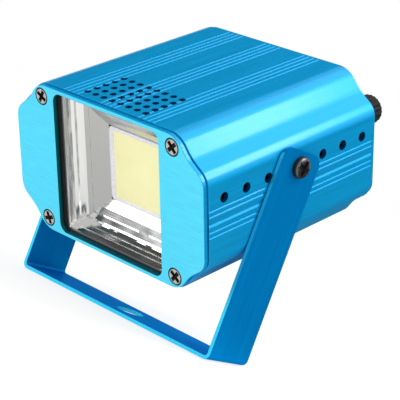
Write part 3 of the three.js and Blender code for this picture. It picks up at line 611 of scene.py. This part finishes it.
# Dull grey for the reflector's unsilvered back, and painted shade on its lip
reflector_dull_back_and_lip_shade = moulded("reflector_dull_back_and_lip_shade", (0.06, 0.06, 0.062), 0.5)
# Painted highlight: a paler, warmer copy of the film for the side walls' narrow steps
reflector_step_painted_highlight = mirror_film("reflector_step_painted_highlight", (0.76, 0.755, 0.73), 0.15, (600, 300, 60), 0.025)
# Painted shade: a darker copy of the film for the side walls' wide facets
reflector_side_painted_shade = mirror_film("reflector_side_painted_shade", (0.46, 0.455, 0.44), 0.2, (600, 300, 60), 0.025)


def show(made, node, matrix=HEAD, sharp=SHARP):
    """Puts a finished piece in the place of its CAD node."""
    made.name = f"{node}_fine"
    made.data.transform(Matrix.Diagonal((MM, MM, MM, 1)))
    made.data.materials.clear()
    made.data.materials.append(materials[slot_of[node]])
    made.data.shade_smooth()
    made.data.set_sharp_from_angle(angle=math.radians(sharp))
    flat = made.modifiers.new("flat faces stay flat", "WEIGHTED_NORMAL")
    flat.keep_sharp = True
    made.matrix_world = matrix
    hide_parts(node)
    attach(made, body_of[node])
    return made


# The pieces

def screw_places():
    return [(x * SCREW_X, z * SCREW_Z) for x, z in ((-1, 1), (1, 1), (-1, -1), (1, -1))]


def housing():
    corners = housing_corners()
    body = bevelled_prism("housing", with_lines(rounded(corners)), HOUSING_FRONT, HOUSING_BACK)
    start, end = HOUSING_FRONT - OVERRUN, HOUSING_BACK + OVERRUN
    inside = rounded(inset(corners, WALL))
    hollow = prism("hollow", [(start, inside), (end, inside)])
    inner_face = HALF_WIDTH - WALL
    boss_start = start - OVERRUN / 2
    solids = [moved(rod(BOSS_RADIUS, end - start + OVERRUN), Matrix.Translation((x, boss_start, z)))
              for x, z in screw_places()]
    for side in (-1, 1):
        for level in RAIL_LEVELS:
            rail = rounded(rectangle(RAIL_DEPTH, RAIL_THICKNESS / 2, 0, side * inner_face, level))
            solids.append(prism("rail", [(boss_start, rail), (end + OVERRUN / 2, rail)]))
    carve(body, carve(hollow, gathered(solids)))
    holes = [moved(rod(SCREW_SHANK + FIT, end - start), Matrix.Translation((x, start, z)))
             for x, z in screw_places()]
    for row in range(VENT_ROWS):
        for column in range(VENT_COLUMNS):
            x = (column - (VENT_COLUMNS - 1) / 2) * VENT_PITCH
            y = VENT_FIRST_ROW + row * VENT_PITCH
            below = Matrix.Translation((x, y, HALF_HEIGHT - WALL * 2))
            upright = below @ Matrix.Rotation(math.pi / 2, 4, "X")
            holes.append(moved(rod(VENT_RADIUS, WALL * 4, VENT_SIDES), upright))
    sideways = [(PIVOT_Y, PIVOT_BORE)]
    for step in range(SIDE_VENTS_EACH_WAY):
        away = SIDE_VENT_FROM_PIVOT + step * SIDE_VENT_PITCH
        sideways += [(PIVOT_Y - away, SIDE_VENT_RADIUS), (PIVOT_Y + away, SIDE_VENT_RADIUS)]
    reach = HALF_WIDTH * 2
    for y, radius in sideways:
        holes.append(along_x(rod(radius, reach * 2), -reach, y, PIVOT_LEVEL))
    carve(body, gathered(holes))
    show(body, "housing_extrusion", sharp=HOUSING_SHARP)
    paint_vent_shade(body, sideways)


def paint_vent_shade(body, sideways):
    """The walls of the vents and of the holes (depth, radius) through the sides get a deeper blue as painted
    shade.
    """
    body.data.materials.append(vent_wall_painted_shade)
    for face in body.data.polygons:
        middle = face.center / MM
        in_side_wall = HALF_WIDTH - WALL - EDGE < abs(middle.x) < HALF_WIDTH - LINE_DEPTH / 4
        in_hole = any(math.hypot(middle.y - y, middle.z - PIVOT_LEVEL) < radius for y, radius in sideways)
        in_top_wall = HALF_HEIGHT - WALL - EDGE < middle.z < HALF_HEIGHT - LINE_DEPTH / 4
        in_columns = abs(middle.x) < VENT_COLUMNS / 2 * VENT_PITCH
        rows_from = VENT_FIRST_ROW - VENT_PITCH / 2
        in_rows = rows_from < middle.y < VENT_FIRST_ROW + VENT_ROWS * VENT_PITCH
        in_vent = in_columns and in_rows and abs(face.normal.z) < HARDLY_ALONG_SHARE
        face.material_index = int((in_side_wall and in_hole) or (in_top_wall and in_vent))


def countersinks(face, way):
    """Cutters for the plate screws, from a face at a depth along +Y or -Y."""
    wide = SCREW_HEAD + FIT / 2
    narrow = SCREW_SHANK + FIT / 2
    deep = SCREW_HEAD_HEIGHT + FIT / 2
    cutters = []
    for x, z in screw_places():
        profile = [(0, -OVERRUN), (wide, -OVERRUN), (wide, 0), (narrow, deep), (narrow, deep + OVERRUN),
                   (0, deep + OVERRUN)]
        flip = Matrix.Rotation(math.pi if way < 0 else 0, 4, "X")
        cutters.append(moved(turned("sink", profile), Matrix.Translation((x, face, z)) @ flip))
    return cutters


def paint_rim_shade(made):
    """The plate's edges get the housing's deeper blue, and those of its openings a darker blue still: painted
    shade on both.
    """
    made.data.materials.append(materials["housing_blue"])
    made.data.materials.append(window_painted_shade)
    for face in made.data.polygons:
        place = face.center / MM
        in_window = max(abs(place.x), abs(place.z)) < WINDOW_HALF + EDGE * 2
        in_sink = any(math.hypot(place.x - x, place.z - z) < SCREW_HEAD + FIT for x, z in screw_places())
        if abs(face.normal.y) < MOSTLY_ALONG_SHARE:
            face.material_index = 2 if in_window or in_sink else 1


def plates():
    points = rounded(inset(housing_corners(), PLATE_INSET))
    front = bevelled_prism("front", points, 0, PLATE_THICKNESS)
    window = []
    for y, grown in ((-OVERRUN, OVERRUN + EDGE), (EDGE, 0), (PLATE_THICKNESS + OVERRUN, 0)):
        half = WINDOW_HALF + grown
        window.append((y, rounded(rectangle(half, half, WINDOW_RADIUS + grown))))
    carve(front, gathered([prism("window", window), *countersinks(0, 1)]))
    paint_rim_shade(show(front, "front_plate"))
    rear = bevelled_prism("rear", points, REAR_PLATE_BACK - PLATE_THICKNESS, REAR_PLATE_BACK)
    start = REAR_PLATE_BACK - PLATE_THICKNESS - OVERRUN
    length = PLATE_THICKNESS + OVERRUN * 2
    holes = [
        moved(rod(BUSHING_BORE, length), Matrix.Translation((CONTROL_X, start, CONTROL_LEVEL))),
        moved(rod(INLET_NECK + FIT, length), Matrix.Translation((INLET_X, start, INLET_LEVEL))),
    ]
    carve(rear, gathered([*countersinks(REAR_PLATE_BACK, -1), *holes]))
    paint_rim_shade(show(rear, "rear_plate"))


def cross_recess(reach, half_slot, depth, turn):
    """A tapered cross-shaped cutter that reaches from above a head's face at Y = 0 down into it."""
    rings = []
    for y, share in ((-SHORT_OVERRUN, CROSS_FLARE_SHARE), (0, 1), (depth, CROSS_FLOOR_SHARE)):
        arm = reach * share
        half = half_slot * (share + 1) / 2
        rings.append([(x, y, z) for x, z in mirrored([(arm, half), (half, half), (half, arm)])])
    return moved(mesh_object("cross", rings), Matrix.Rotation(math.radians(turn), 4, "Y"))


def paint_recess_shade(made, reach, depth):
    """Gives the faces inside a screw's recess a near-black material as painted shade. The head's face is at Y = 0.
    """
    made.data.materials.append(recess_painted_shade)
    for face in made.data.polygons:
        middle = face.center / MM
        inside = math.hypot(middle.x, middle.z) < reach and EDGE < middle.y < depth + EDGE
        face.material_index = int(inside)


def paint_head_shade(made, wanted):
    """Gives a dark material, painted shade, to the faces outside a screw's recess that a test picks out."""
    made.data.materials.append(head_painted_shade)
    for face in made.data.polygons:
        if face.material_index == 0 and wanted(face):
            face.material_index = 2


def recessed_screw(node, profile, cross, turn, place, spin):
    """A screw along +Y from its place, turned by a spin matrix, with its cross turned by some degrees."""
    reach, half_slot, depth = cross
    made = carve(turned(node, profile), cross_recess(reach, half_slot, depth, turn))
    show(made, node)
    paint_recess_shade(made, reach, depth)
    made.data.transform(Matrix.Translation(Vector(place) * MM) @ spin)
    return made


def plate_screws():
    head = [(0, 0), (SCREW_HEAD - SCREW_RING, 0), (SCREW_HEAD - EDGE, SCREW_RING / 2),
            (SCREW_SHANK, SCREW_HEAD_HEIGHT)]
    profile = [*head, (SCREW_SHANK, SCREW_LENGTH - SCREW_SHANK), (0, SCREW_LENGTH)]
    sides = (("front", 0, 0, FRONT_SCREW_TURNS), ("rear", REAR_PLATE_BACK, math.pi, REAR_SCREW_TURNS))
    for name, y, flip, turns in sides:
        for number, ((x, z), turn) in enumerate(zip(screw_places(), turns), 1):
            spin = Matrix.Rotation(flip, 4, "X")
            made = recessed_screw(f"{name}_screw_{number}", profile, PLATE_CROSS, turn, (x, y, z), spin)
            # The sloping ring and the sides of each plate screw's head get painted shade
            paint_head_shade(made, lambda face: abs(face.normal.y) < ALMOST_ALONG_SHARE)


def pivot_screws():
    dome = [(PIVOT_HEAD * across, PIVOT_HEAD_HEIGHT * down) for across, down in DOME_SHARES]
    profile = [*dome, (PIVOT_SHANK, PIVOT_HEAD_HEIGHT), (PIVOT_SHANK, PIVOT_LENGTH), (0, PIVOT_LENGTH)]
    face_x = ARM_OUTER + GAP + PIVOT_HEAD_HEIGHT
    for name, side in (("left", -1), ("right", 1)):
        place = (side * face_x, PIVOT_Y, PIVOT_LEVEL)
        spin = Matrix.Rotation(side * math.pi / 2, 4, "Z")
        made = recessed_screw(f"pivot_screw_{name}", profile, PIVOT_CROSS, PIVOT_TURN * side, place, spin)
        # The side of each pivot screw's domed head gets painted shade
        paint_head_shade(made, lambda face: (abs(face.normal.x) < HALF_ALONG_SHARE
                                    and abs(face.center.x) > (face_x - PIVOT_HEAD_HEIGHT) * MM))


def bracket():
    height = ARM_BELOW_PIVOT + ARM_ABOVE_PIVOT
    inner = ARM_OUTER - STRIP_THICKNESS
    arm = [(ARM_OUTER, 0, BEND_RADIUS), (ARM_OUTER, height, 0), (inner, height, 0),
           (inner, STRIP_THICKNESS, BEND_RADIUS - STRIP_THICKNESS)]
    corners = arm + [(-x, z, radius) for x, z, radius in arm[::-1]]
    half = STRIP_WIDTH / 2
    strip = prism("strip", [(-half, rounded(corners)), (half, rounded(corners))])
    side = rounded([(half, height, ARM_CORNER), (-half, height, ARM_CORNER),
                    (-half, -height, 0), (half, -height, 0)])
    reach = ARM_OUTER + OVERRUN
    ends = mesh_object("ends", [[(x, point.x, point.y) for point in side] for x in (-reach, reach)])
    carve(strip, ends, "INTERSECT")
    upright = Matrix.Translation((0, 0, -OVERRUN)) @ Matrix.Rotation(math.pi / 2, 4, "X")
    carve(strip, gathered([
        along_x(rod(PIVOT_BORE, reach * 2), -reach, 0, ARM_BELOW_PIVOT),
        moved(rod(FIXING_HOLE, STRIP_THICKNESS + OVERRUN * 2, FIXING_HOLE_SIDES), upright),
    ]))
    made = show(strip, "bracket", STAND)
    # The strip's cut edges and the wall of its fixing hole get the paler blue as painted highlight
    made.data.materials.append(bracket_painted_highlight)
    for face in made.data.polygons:
        middle = face.center / MM
        near_hole = math.hypot(middle.x, middle.y) < FIXING_HOLE + EDGE
        in_hole = near_hole and abs(face.normal.z) < HALF_ALONG_SHARE
        face.material_index = int(abs(face.normal.y) > MOSTLY_ALONG_SHARE or in_hole)
    bevel = made.modifiers.new("edges", "BEVEL")
    bevel.width = BRACKET_BEVEL * MM
    bevel.segments = BRACKET_BEVEL_SEGMENTS
    bevel.limit_method = "ANGLE"
    bevel.angle_limit = math.radians(BEVELLED_FROM)
    made.modifiers.move(1, 0)


def wavy_square(half, y, step_height, wave_height, seed):
    """A square ring whose sides wave, but not at their ends. Its top and bottom lie a step further out."""
    corners = [(half * i, half * k) for i, k in QUADRANTS]
    ring = []
    for side, (x, z) in enumerate(corners):
        next_x, next_z = corners[(side + 1) % len(corners)]
        for step in range(WALL_STEPS):
            share = step / WALL_STEPS
            fade = min(share, 1 - share) * WAVES_EACH_WALL
            wave = noise.noise(Vector((share * WAVES_EACH_WALL, side + NOISE_OFFSET, seed * NOISE_ROW)))
            out = step_height * min(fade, 1) * (1 - side % 2) * math.copysign(1, z)
            ring.append((OPTICS_X + x + (next_x - x) * share, y - wave_height * min(fade, 1) * wave,
                         z + (next_z - z) * share + out))
    return ring


def reflector():
    """The silvered facets, a darker copy of the film on the side walls' wide facets as painted shade and a paler
    one on their steps as painted highlight, with a dull back and a lip dulled as painted shade.
    """
    creases = [Vector((MOUTH_HALF + (THROAT_HALF - MOUTH_HALF) * across, MOUTH_Y + REFLECTOR_DEPTH * deep))
               for deep, across in FACET_SHARES]
    inner = [(creases[0] + Vector((MOUTH_LIP[0], 0)), 0, 0), (creases[0] + Vector((0, MOUTH_LIP[1])), 0, 0)]
    for index, (crease, following) in enumerate(zip(creases, creases[1:])):
        along = following - crease
        inward = Vector((-along.y, along.x)).normalized()
        slope = math.atan2(-along.x, along.y)
        for share, height in WIDE_RELIEF if index == WIDE_FACET else NARROW_RELIEF:
            step = 0
            if index < WIDE_FACET and share < 1:
                rise = max(math.radians(STEP_SLOPE) - slope, 0)
                step = (1 - share) * along.length * math.tan(rise) + height
            calm = CALM_SHARE if index == WIDE_FACET and share > CALM_FROM_SHARE else 1
            inner.append((crease + along * share + inward * height, step, WAVE_HEIGHT * calm))
    outer = []
    for index, crease in enumerate(creases):
        along = (creases[min(index + 1, len(creases) - 1)] - creases[max(index - 1, 0)]).normalized()
        outer.append(crease + Vector((along.y, -along.x)) * REFLECTOR_WALL)
    outer[0] = Vector((MOUTH_HALF + REFLECTOR_WALL, MOUTH_Y))
    outer[-1].y = MOUTH_Y + REFLECTOR_DEPTH
    inner[-1] = (inner[-1][0], 0, 0)
    rings = [wavy_square(*point, step, height, index) for index, (point, step, height) in enumerate(inner)]
    rings += [wavy_square(*point, 0, 0, 0) for point in outer[::-1]]
    made = show(mesh_object("reflector", rings, closed=True), "reflector", sharp=REFLECTOR_SHARP)
    for look in (reflector_side_painted_shade, reflector_dull_back_and_lip_shade, reflector_step_painted_highlight):
        made.data.materials.append(look)
    wide_facet = len(inner) - 1 - len(WIDE_RELIEF)
    # The lip gets painted shade, and the side walls' facets painted shade or painted highlight
    for face in made.data.polygons:
        strip = face.index // (WALL_STEPS * len(QUADRANTS))
        if strip == 0 or strip >= len(inner) - 1:
            face.material_index = 2
        elif abs(face.normal.x) > abs(face.normal.z):
            face.material_index = 1 if strip >= wide_facet else 3


def dam():
    """A bead of white silicone that has flowed a little way onto the phosphor."""
    rings = []
    for share, rise in DAM_BEAD:
        halves = [DAM_HALF + (half - DAM_HALF) * share for half in PHOSPHOR_HALVES]
        radius = DAM_RADIUS * (1 - share) + EDGE
        points = rounded(rectangle(*halves, radius, OPTICS_X))
        rings.append([(point.x, LED_FRONT - rise, point.y) for point in points])
    show(mesh_object("dam", rings, closed=True), "led_dam", sharp=DAM_SHARP)


def gasket():
    back = GASKET_FRONT + GASKET_THICKNESS
    made = bevelled_prism("gasket", rounded(rectangle(*GASKET_HALVES, GASKET_RADIUS)), GASKET_FRONT, back)
    opening = rounded(rectangle(GASKET_OPENING, GASKET_OPENING, EDGE, OPTICS_X))
    carve(made, prism("opening", [(GASKET_FRONT - OVERRUN, opening), (back + OVERRUN, opening)]))
    show(made, "window_gasket")


def ribbed_ring(radius, depth, y):
    """A ring round the Y axis, with the knob's ribs cut into it to a depth."""
    points = []
    steps = KNOB_RIBS * KNOB_RIB_STEPS
    for index in range(steps):
        angle = math.tau * index / steps
        valley = ((1 - math.cos(angle * KNOB_RIBS)) / 2) ** KNOB_RIB_FULLNESS
        reach = radius - depth * valley
        points.append((reach * math.cos(angle), y, reach * math.sin(angle)))
    return points


def knob():
    top = KNOB_TOP_RADIUS - KNOB_BEVEL
    turn = KNOB_BEVEL * KNOB_BEVEL_SHARE
    body = mesh_object("knob", [
        ribbed_ring(KNOB_SKIRT_RADIUS - EDGE, 0, 0),
        ribbed_ring(KNOB_SKIRT_RADIUS, 0, EDGE),
        ribbed_ring(KNOB_SKIRT_RADIUS, 0, KNOB_SKIRT_HEIGHT * KNOB_SKIRT_EDGE_SHARE),
        ribbed_ring(KNOB_RADIUS, 0, KNOB_SKIRT_HEIGHT),
        ribbed_ring(KNOB_RADIUS, KNOB_RIB_DEPTH, KNOB_SKIRT_HEIGHT + EDGE),
        ribbed_ring(KNOB_TOP_RADIUS, KNOB_RIB_DEPTH, KNOB_LENGTH - KNOB_BEVEL),
        ribbed_ring(KNOB_TOP_RADIUS - turn, KNOB_RIB_DEPTH / 2, KNOB_LENGTH - turn),
        ribbed_ring(top, 0, KNOB_LENGTH),
    ])
    pointer = rounded(rectangle(POINTER_HALF, top / 2 - POINTER_MARGIN, 0, 0, top / 2))
    bore = moved(rod(KNOB_BORE, KNOB_BORE_DEPTH + OVERRUN), Matrix.Translation((0, -OVERRUN, 0)))
    slot = prism("slot", [(KNOB_LENGTH - POINTER_DEPTH, pointer), (KNOB_LENGTH + SHORT_OVERRUN, pointer)])
    carve(body, gathered([bore, slot]))
    moved(body, Matrix.Translation((CONTROL_X, KNOB_FRONT, CONTROL_LEVEL)))
    show(body, "speed_knob", sharp=KNOB_SHARP)


def grommet():
    chamfer = INLET_LIP / 2
    length = INLET_LIP * 2 + PLATE_THICKNESS + GAP * 2
    curve = [(INLET_LIP_RADIUS - chamfer * (1 - math.sin(angle)), chamfer * (1 - math.cos(angle)))
             for angle in (math.pi / 2 * step / INLET_ARC_STEPS for step in range(INLET_ARC_STEPS + 1))]
    half = [(INLET_BORE + EDGE, 0), *curve, (INLET_LIP_RADIUS, INLET_LIP), (INLET_NECK, INLET_LIP)]
    profile = [(INLET_BORE, EDGE), *half]
    profile += [(radius, length - y) for radius, y in half[::-1]] + [(INLET_BORE, length - EDGE)]
    start = REAR_PLATE_BACK + GAP + INLET_LIP - length
    made = turned("grommet", [*profile, profile[0]], INLET_SIDES)
    show(moved(made, Matrix.Translation((INLET_X, start, INLET_LEVEL))), "cable_grommet")


def carried_over():
    """Gives the CAD pieces that have no fine one their materials."""
    for node, slot in slot_of.items():
        made = frame["nodes"][node]
        if not made.hide_render:
            made.data.materials.clear()
            made.data.materials.append(materials[slot])


housing()
plates()
plate_screws()
pivot_screws()
bracket()
reflector()
dam()
gasket()
knob()
grommet()
carried_over()


# Light, floor and camera

LIGHT_AIM = Vector((0, 0, 0.05))        # metres
# Name, direction, distance, width, height (metres) and radiance
SOFTBOXES = [
    ("overhead", (0.36, 0.22, 0.91), 0.9, 0.9, 0.9, 1.0),
    ("overhead right", (0.59, 0.295, 0.752), 0.88, 0.13, 0.5, 12.5),
    ("front left", (-0.65, -0.75, 0.11), 0.9, 0.7, 0.3, 3.5),
]
# Name, direction, distance, half width, half height (metres) and radiance
STANDING_CARDS = [
    ("room behind the camera", (-0.6, -0.5, 0.62), 1.0, 0.66, 0.54, 0.08),
    ("room on the left", (-0.65, 0.33, 0.69), 1.05, 0.34, 0.34, 0.05),
    ("room on the right", (0.68, 0.7, 0.02), 0.9, 0.44, 0.34, 0.05),
]
# The cards on the floor put painted shade of the floor into reflections; the floor that the camera sees stays
# white
# Name, middle (metres), turn in degrees, half width, half height (metres) and radiance
LYING_CARDS = [
    ("dark floor", (-0.29, -0.33, 0.0003), 49, 0.27, 0.34, 0.07),
    ("dark floor behind", (0.02, 0.42, 0.0003), 0, 0.75, 0.44, 0.1),
    ("grey floor", (-0.12, -0.14, 0.0004), 49, 0.034, 0.11, 0.45),
]
CARD_FULL_SHARE = 0.8                   # of a card's half width and height, up to where it starts to fade
BACKDROP_RADIANCE = 1.0                 # as the camera and reflections see it
AMBIENT_RADIANCE = 0.9                  # as it lights the object
FLOOR_HALF = 6                          # metres
FLOOR_LEVEL = -0.0002                   # metres
FLOOR_GLOW = 1.04
FLOOR_WHITE = 0.95
FLOOR_MATT_SHARE = 0.25
CLIP_START = 0.01                       # metres
CLIP_END = 50                           # metres


def softbox(name, direction, distance, width, height, radiance):
    """A white area light that faces the object. Radiance 1 looks as bright as the white background."""
    data = bpy.data.lights.new(name, "AREA")
    data.shape = "RECTANGLE"
    data.size = width
    data.size_y = height
    data.energy = radiance * math.pi * width * height
    lamp = bpy.data.objects.new(name, data)
    way = Vector(direction).normalized()
    lamp.location = LIGHT_AIM + way * distance
    lamp.rotation_euler = (-way).to_track_quat("-Z", "Y").to_euler()
    scene.collection.objects.link(lamp)


def sheet(name, half_width, half_height):
    """A flat rectangle with an empty material, and that material's nodes and links."""
    mesh = bpy.data.meshes.new(name)
    corners = [(half_width * i, half_height * k, 0) for i, k in QUADRANTS]
    mesh.from_pydata(corners, [], [range(len(corners))])
    look = bpy.data.materials.new(name)
    look.use_nodes = True
    look.node_tree.nodes.remove(look.node_tree.nodes["Principled BSDF"])
    mesh.materials.append(look)
    made = bpy.data.objects.new(name, mesh)
    scene.collection.objects.link(made)
    return made, look.node_tree.nodes, look.node_tree.links


def mix(nodes, links, first, second):
    """Mixes two shaders on the material's surface."""
    mixed = nodes.new("ShaderNodeMixShader")
    links.new(first, mixed.inputs[1])
    links.new(second, mixed.inputs[2])
    links.new(mixed.outputs["Shader"], nodes["Material Output"].inputs["Surface"])
    return mixed.inputs["Fac"]


def emission(nodes, radiance):
    glow = nodes.new("ShaderNodeEmission")
    glow.inputs["Strength"].default_value = radiance
    return glow.outputs["Emission"]


def card(name, place, facing, half_width, half_height, radiance):
    """A card that only reflections see, as a room is darker beside the lamps. It fades out at its edges."""
    made, nodes, links = sheet(name, half_width, half_height)
    place_on = nodes.new("ShaderNodeTexCoord")
    middle = nodes.new("ShaderNodeMapping")
    middle.inputs["Location"].default_value = (-1, -1, 0)
    middle.inputs["Scale"].default_value = (2, 2, 0)
    from_middle = nodes.new("ShaderNodeVectorMath")
    from_middle.operation = "ABSOLUTE"
    apart = nodes.new("ShaderNodeSeparateXYZ")
    farther = nodes.new("ShaderNodeMath")
    farther.operation = "MAXIMUM"
    fade = nodes.new("ShaderNodeMapRange")
    fade.interpolation_type = "SMOOTHSTEP"
    fade.inputs["From Min"].default_value = CARD_FULL_SHARE
    links.new(place_on.outputs["Generated"], middle.inputs["Vector"])
    links.new(middle.outputs["Vector"], from_middle.inputs["Vector"])
    links.new(from_middle.outputs["Vector"], apart.inputs["Vector"])
    links.new(apart.outputs["X"], farther.inputs[0])
    links.new(apart.outputs["Y"], farther.inputs[1])
    links.new(farther.outputs["Value"], fade.inputs["Value"])
    clear = nodes.new("ShaderNodeBsdfTransparent").outputs["BSDF"]
    links.new(fade.outputs["Result"], mix(nodes, links, emission(nodes, radiance), clear))
    made.location = place
    made.rotation_euler = facing
    made.visible_camera = False
    made.visible_diffuse = False
    made.visible_shadow = False


def backdrop():
    """White to the camera and in reflections, and a little less bright as light."""
    world = bpy.data.worlds.new("studio")
    world.use_nodes = True
    scene.world = world
    nodes, links = world.node_tree.nodes, world.node_tree.links
    path = nodes.new("ShaderNodeLightPath")
    seen = path.outputs["Is Camera Ray"]
    for ray in ("Is Glossy Ray", "Is Transmission Ray"):
        either = nodes.new("ShaderNodeMath")
        either.operation = "MAXIMUM"
        links.new(seen, either.inputs[0])
        links.new(path.outputs[ray], either.inputs[1])
        seen = either.outputs["Value"]
    level = nodes.new("ShaderNodeMapRange")
    level.inputs["To Min"].default_value = AMBIENT_RADIANCE
    level.inputs["To Max"].default_value = BACKDROP_RADIANCE
    links.new(seen, level.inputs["Value"])
    links.new(level.outputs["Result"], nodes["Background"].inputs["Strength"])
    nodes["Background"].inputs["Color"].default_value = (1, 1, 1, 1)


def white_floor():
    floor, nodes, links = sheet("floor", FLOOR_HALF, FLOOR_HALF)
    floor.location.z = FLOOR_LEVEL
    matt = nodes.new("ShaderNodeBsdfDiffuse")
    matt.inputs["Color"].default_value = (FLOOR_WHITE, FLOOR_WHITE, FLOOR_WHITE, 1)
    share = mix(nodes, links, emission(nodes, FLOOR_GLOW), matt.outputs["BSDF"])
    share.default_value = FLOOR_MATT_SHARE


def place_camera():
    data = bpy.data.cameras.new("camera")
    data.sensor_width = SENSOR_WIDTH
    data.lens = FOCAL_LENGTH
    data.clip_start = CLIP_START
    data.clip_end = CLIP_END
    camera = bpy.data.objects.new("camera", data)
    azimuth = math.radians(CAMERA_AZIMUTH)
    elevation = math.radians(CAMERA_ELEVATION)
    roll = math.radians(CAMERA_ROLL)
    forward = Vector((-math.sin(azimuth) * math.cos(elevation), math.cos(azimuth) * math.cos(elevation),
                      -math.sin(elevation)))
    level_right = Vector((math.cos(azimuth), math.sin(azimuth), 0))
    right = level_right * math.cos(roll) + level_right.cross(forward) * math.sin(roll)
    up = right.cross(forward)
    stance = Matrix((right, up, -forward)).transposed().to_4x4()
    camera.matrix_world = HEAD @ Matrix.Translation(Vector(CAMERA_PLACE) * MM) @ stance
    scene.collection.objects.link(camera)
    scene.camera = camera


for box in SOFTBOXES:
    softbox(*box)
for name, direction, distance, *size in STANDING_CARDS:
    way = Vector(direction).normalized()
    card(name, way * distance, (-way).to_track_quat("Z", "Y").to_euler(), *size)
for name, place, turn, *size in LYING_CARDS:
    card(name, place, (0, 0, math.radians(turn)), *size)
backdrop()
white_floor()
scene.view_settings.view_transform = "Standard"
place_camera()
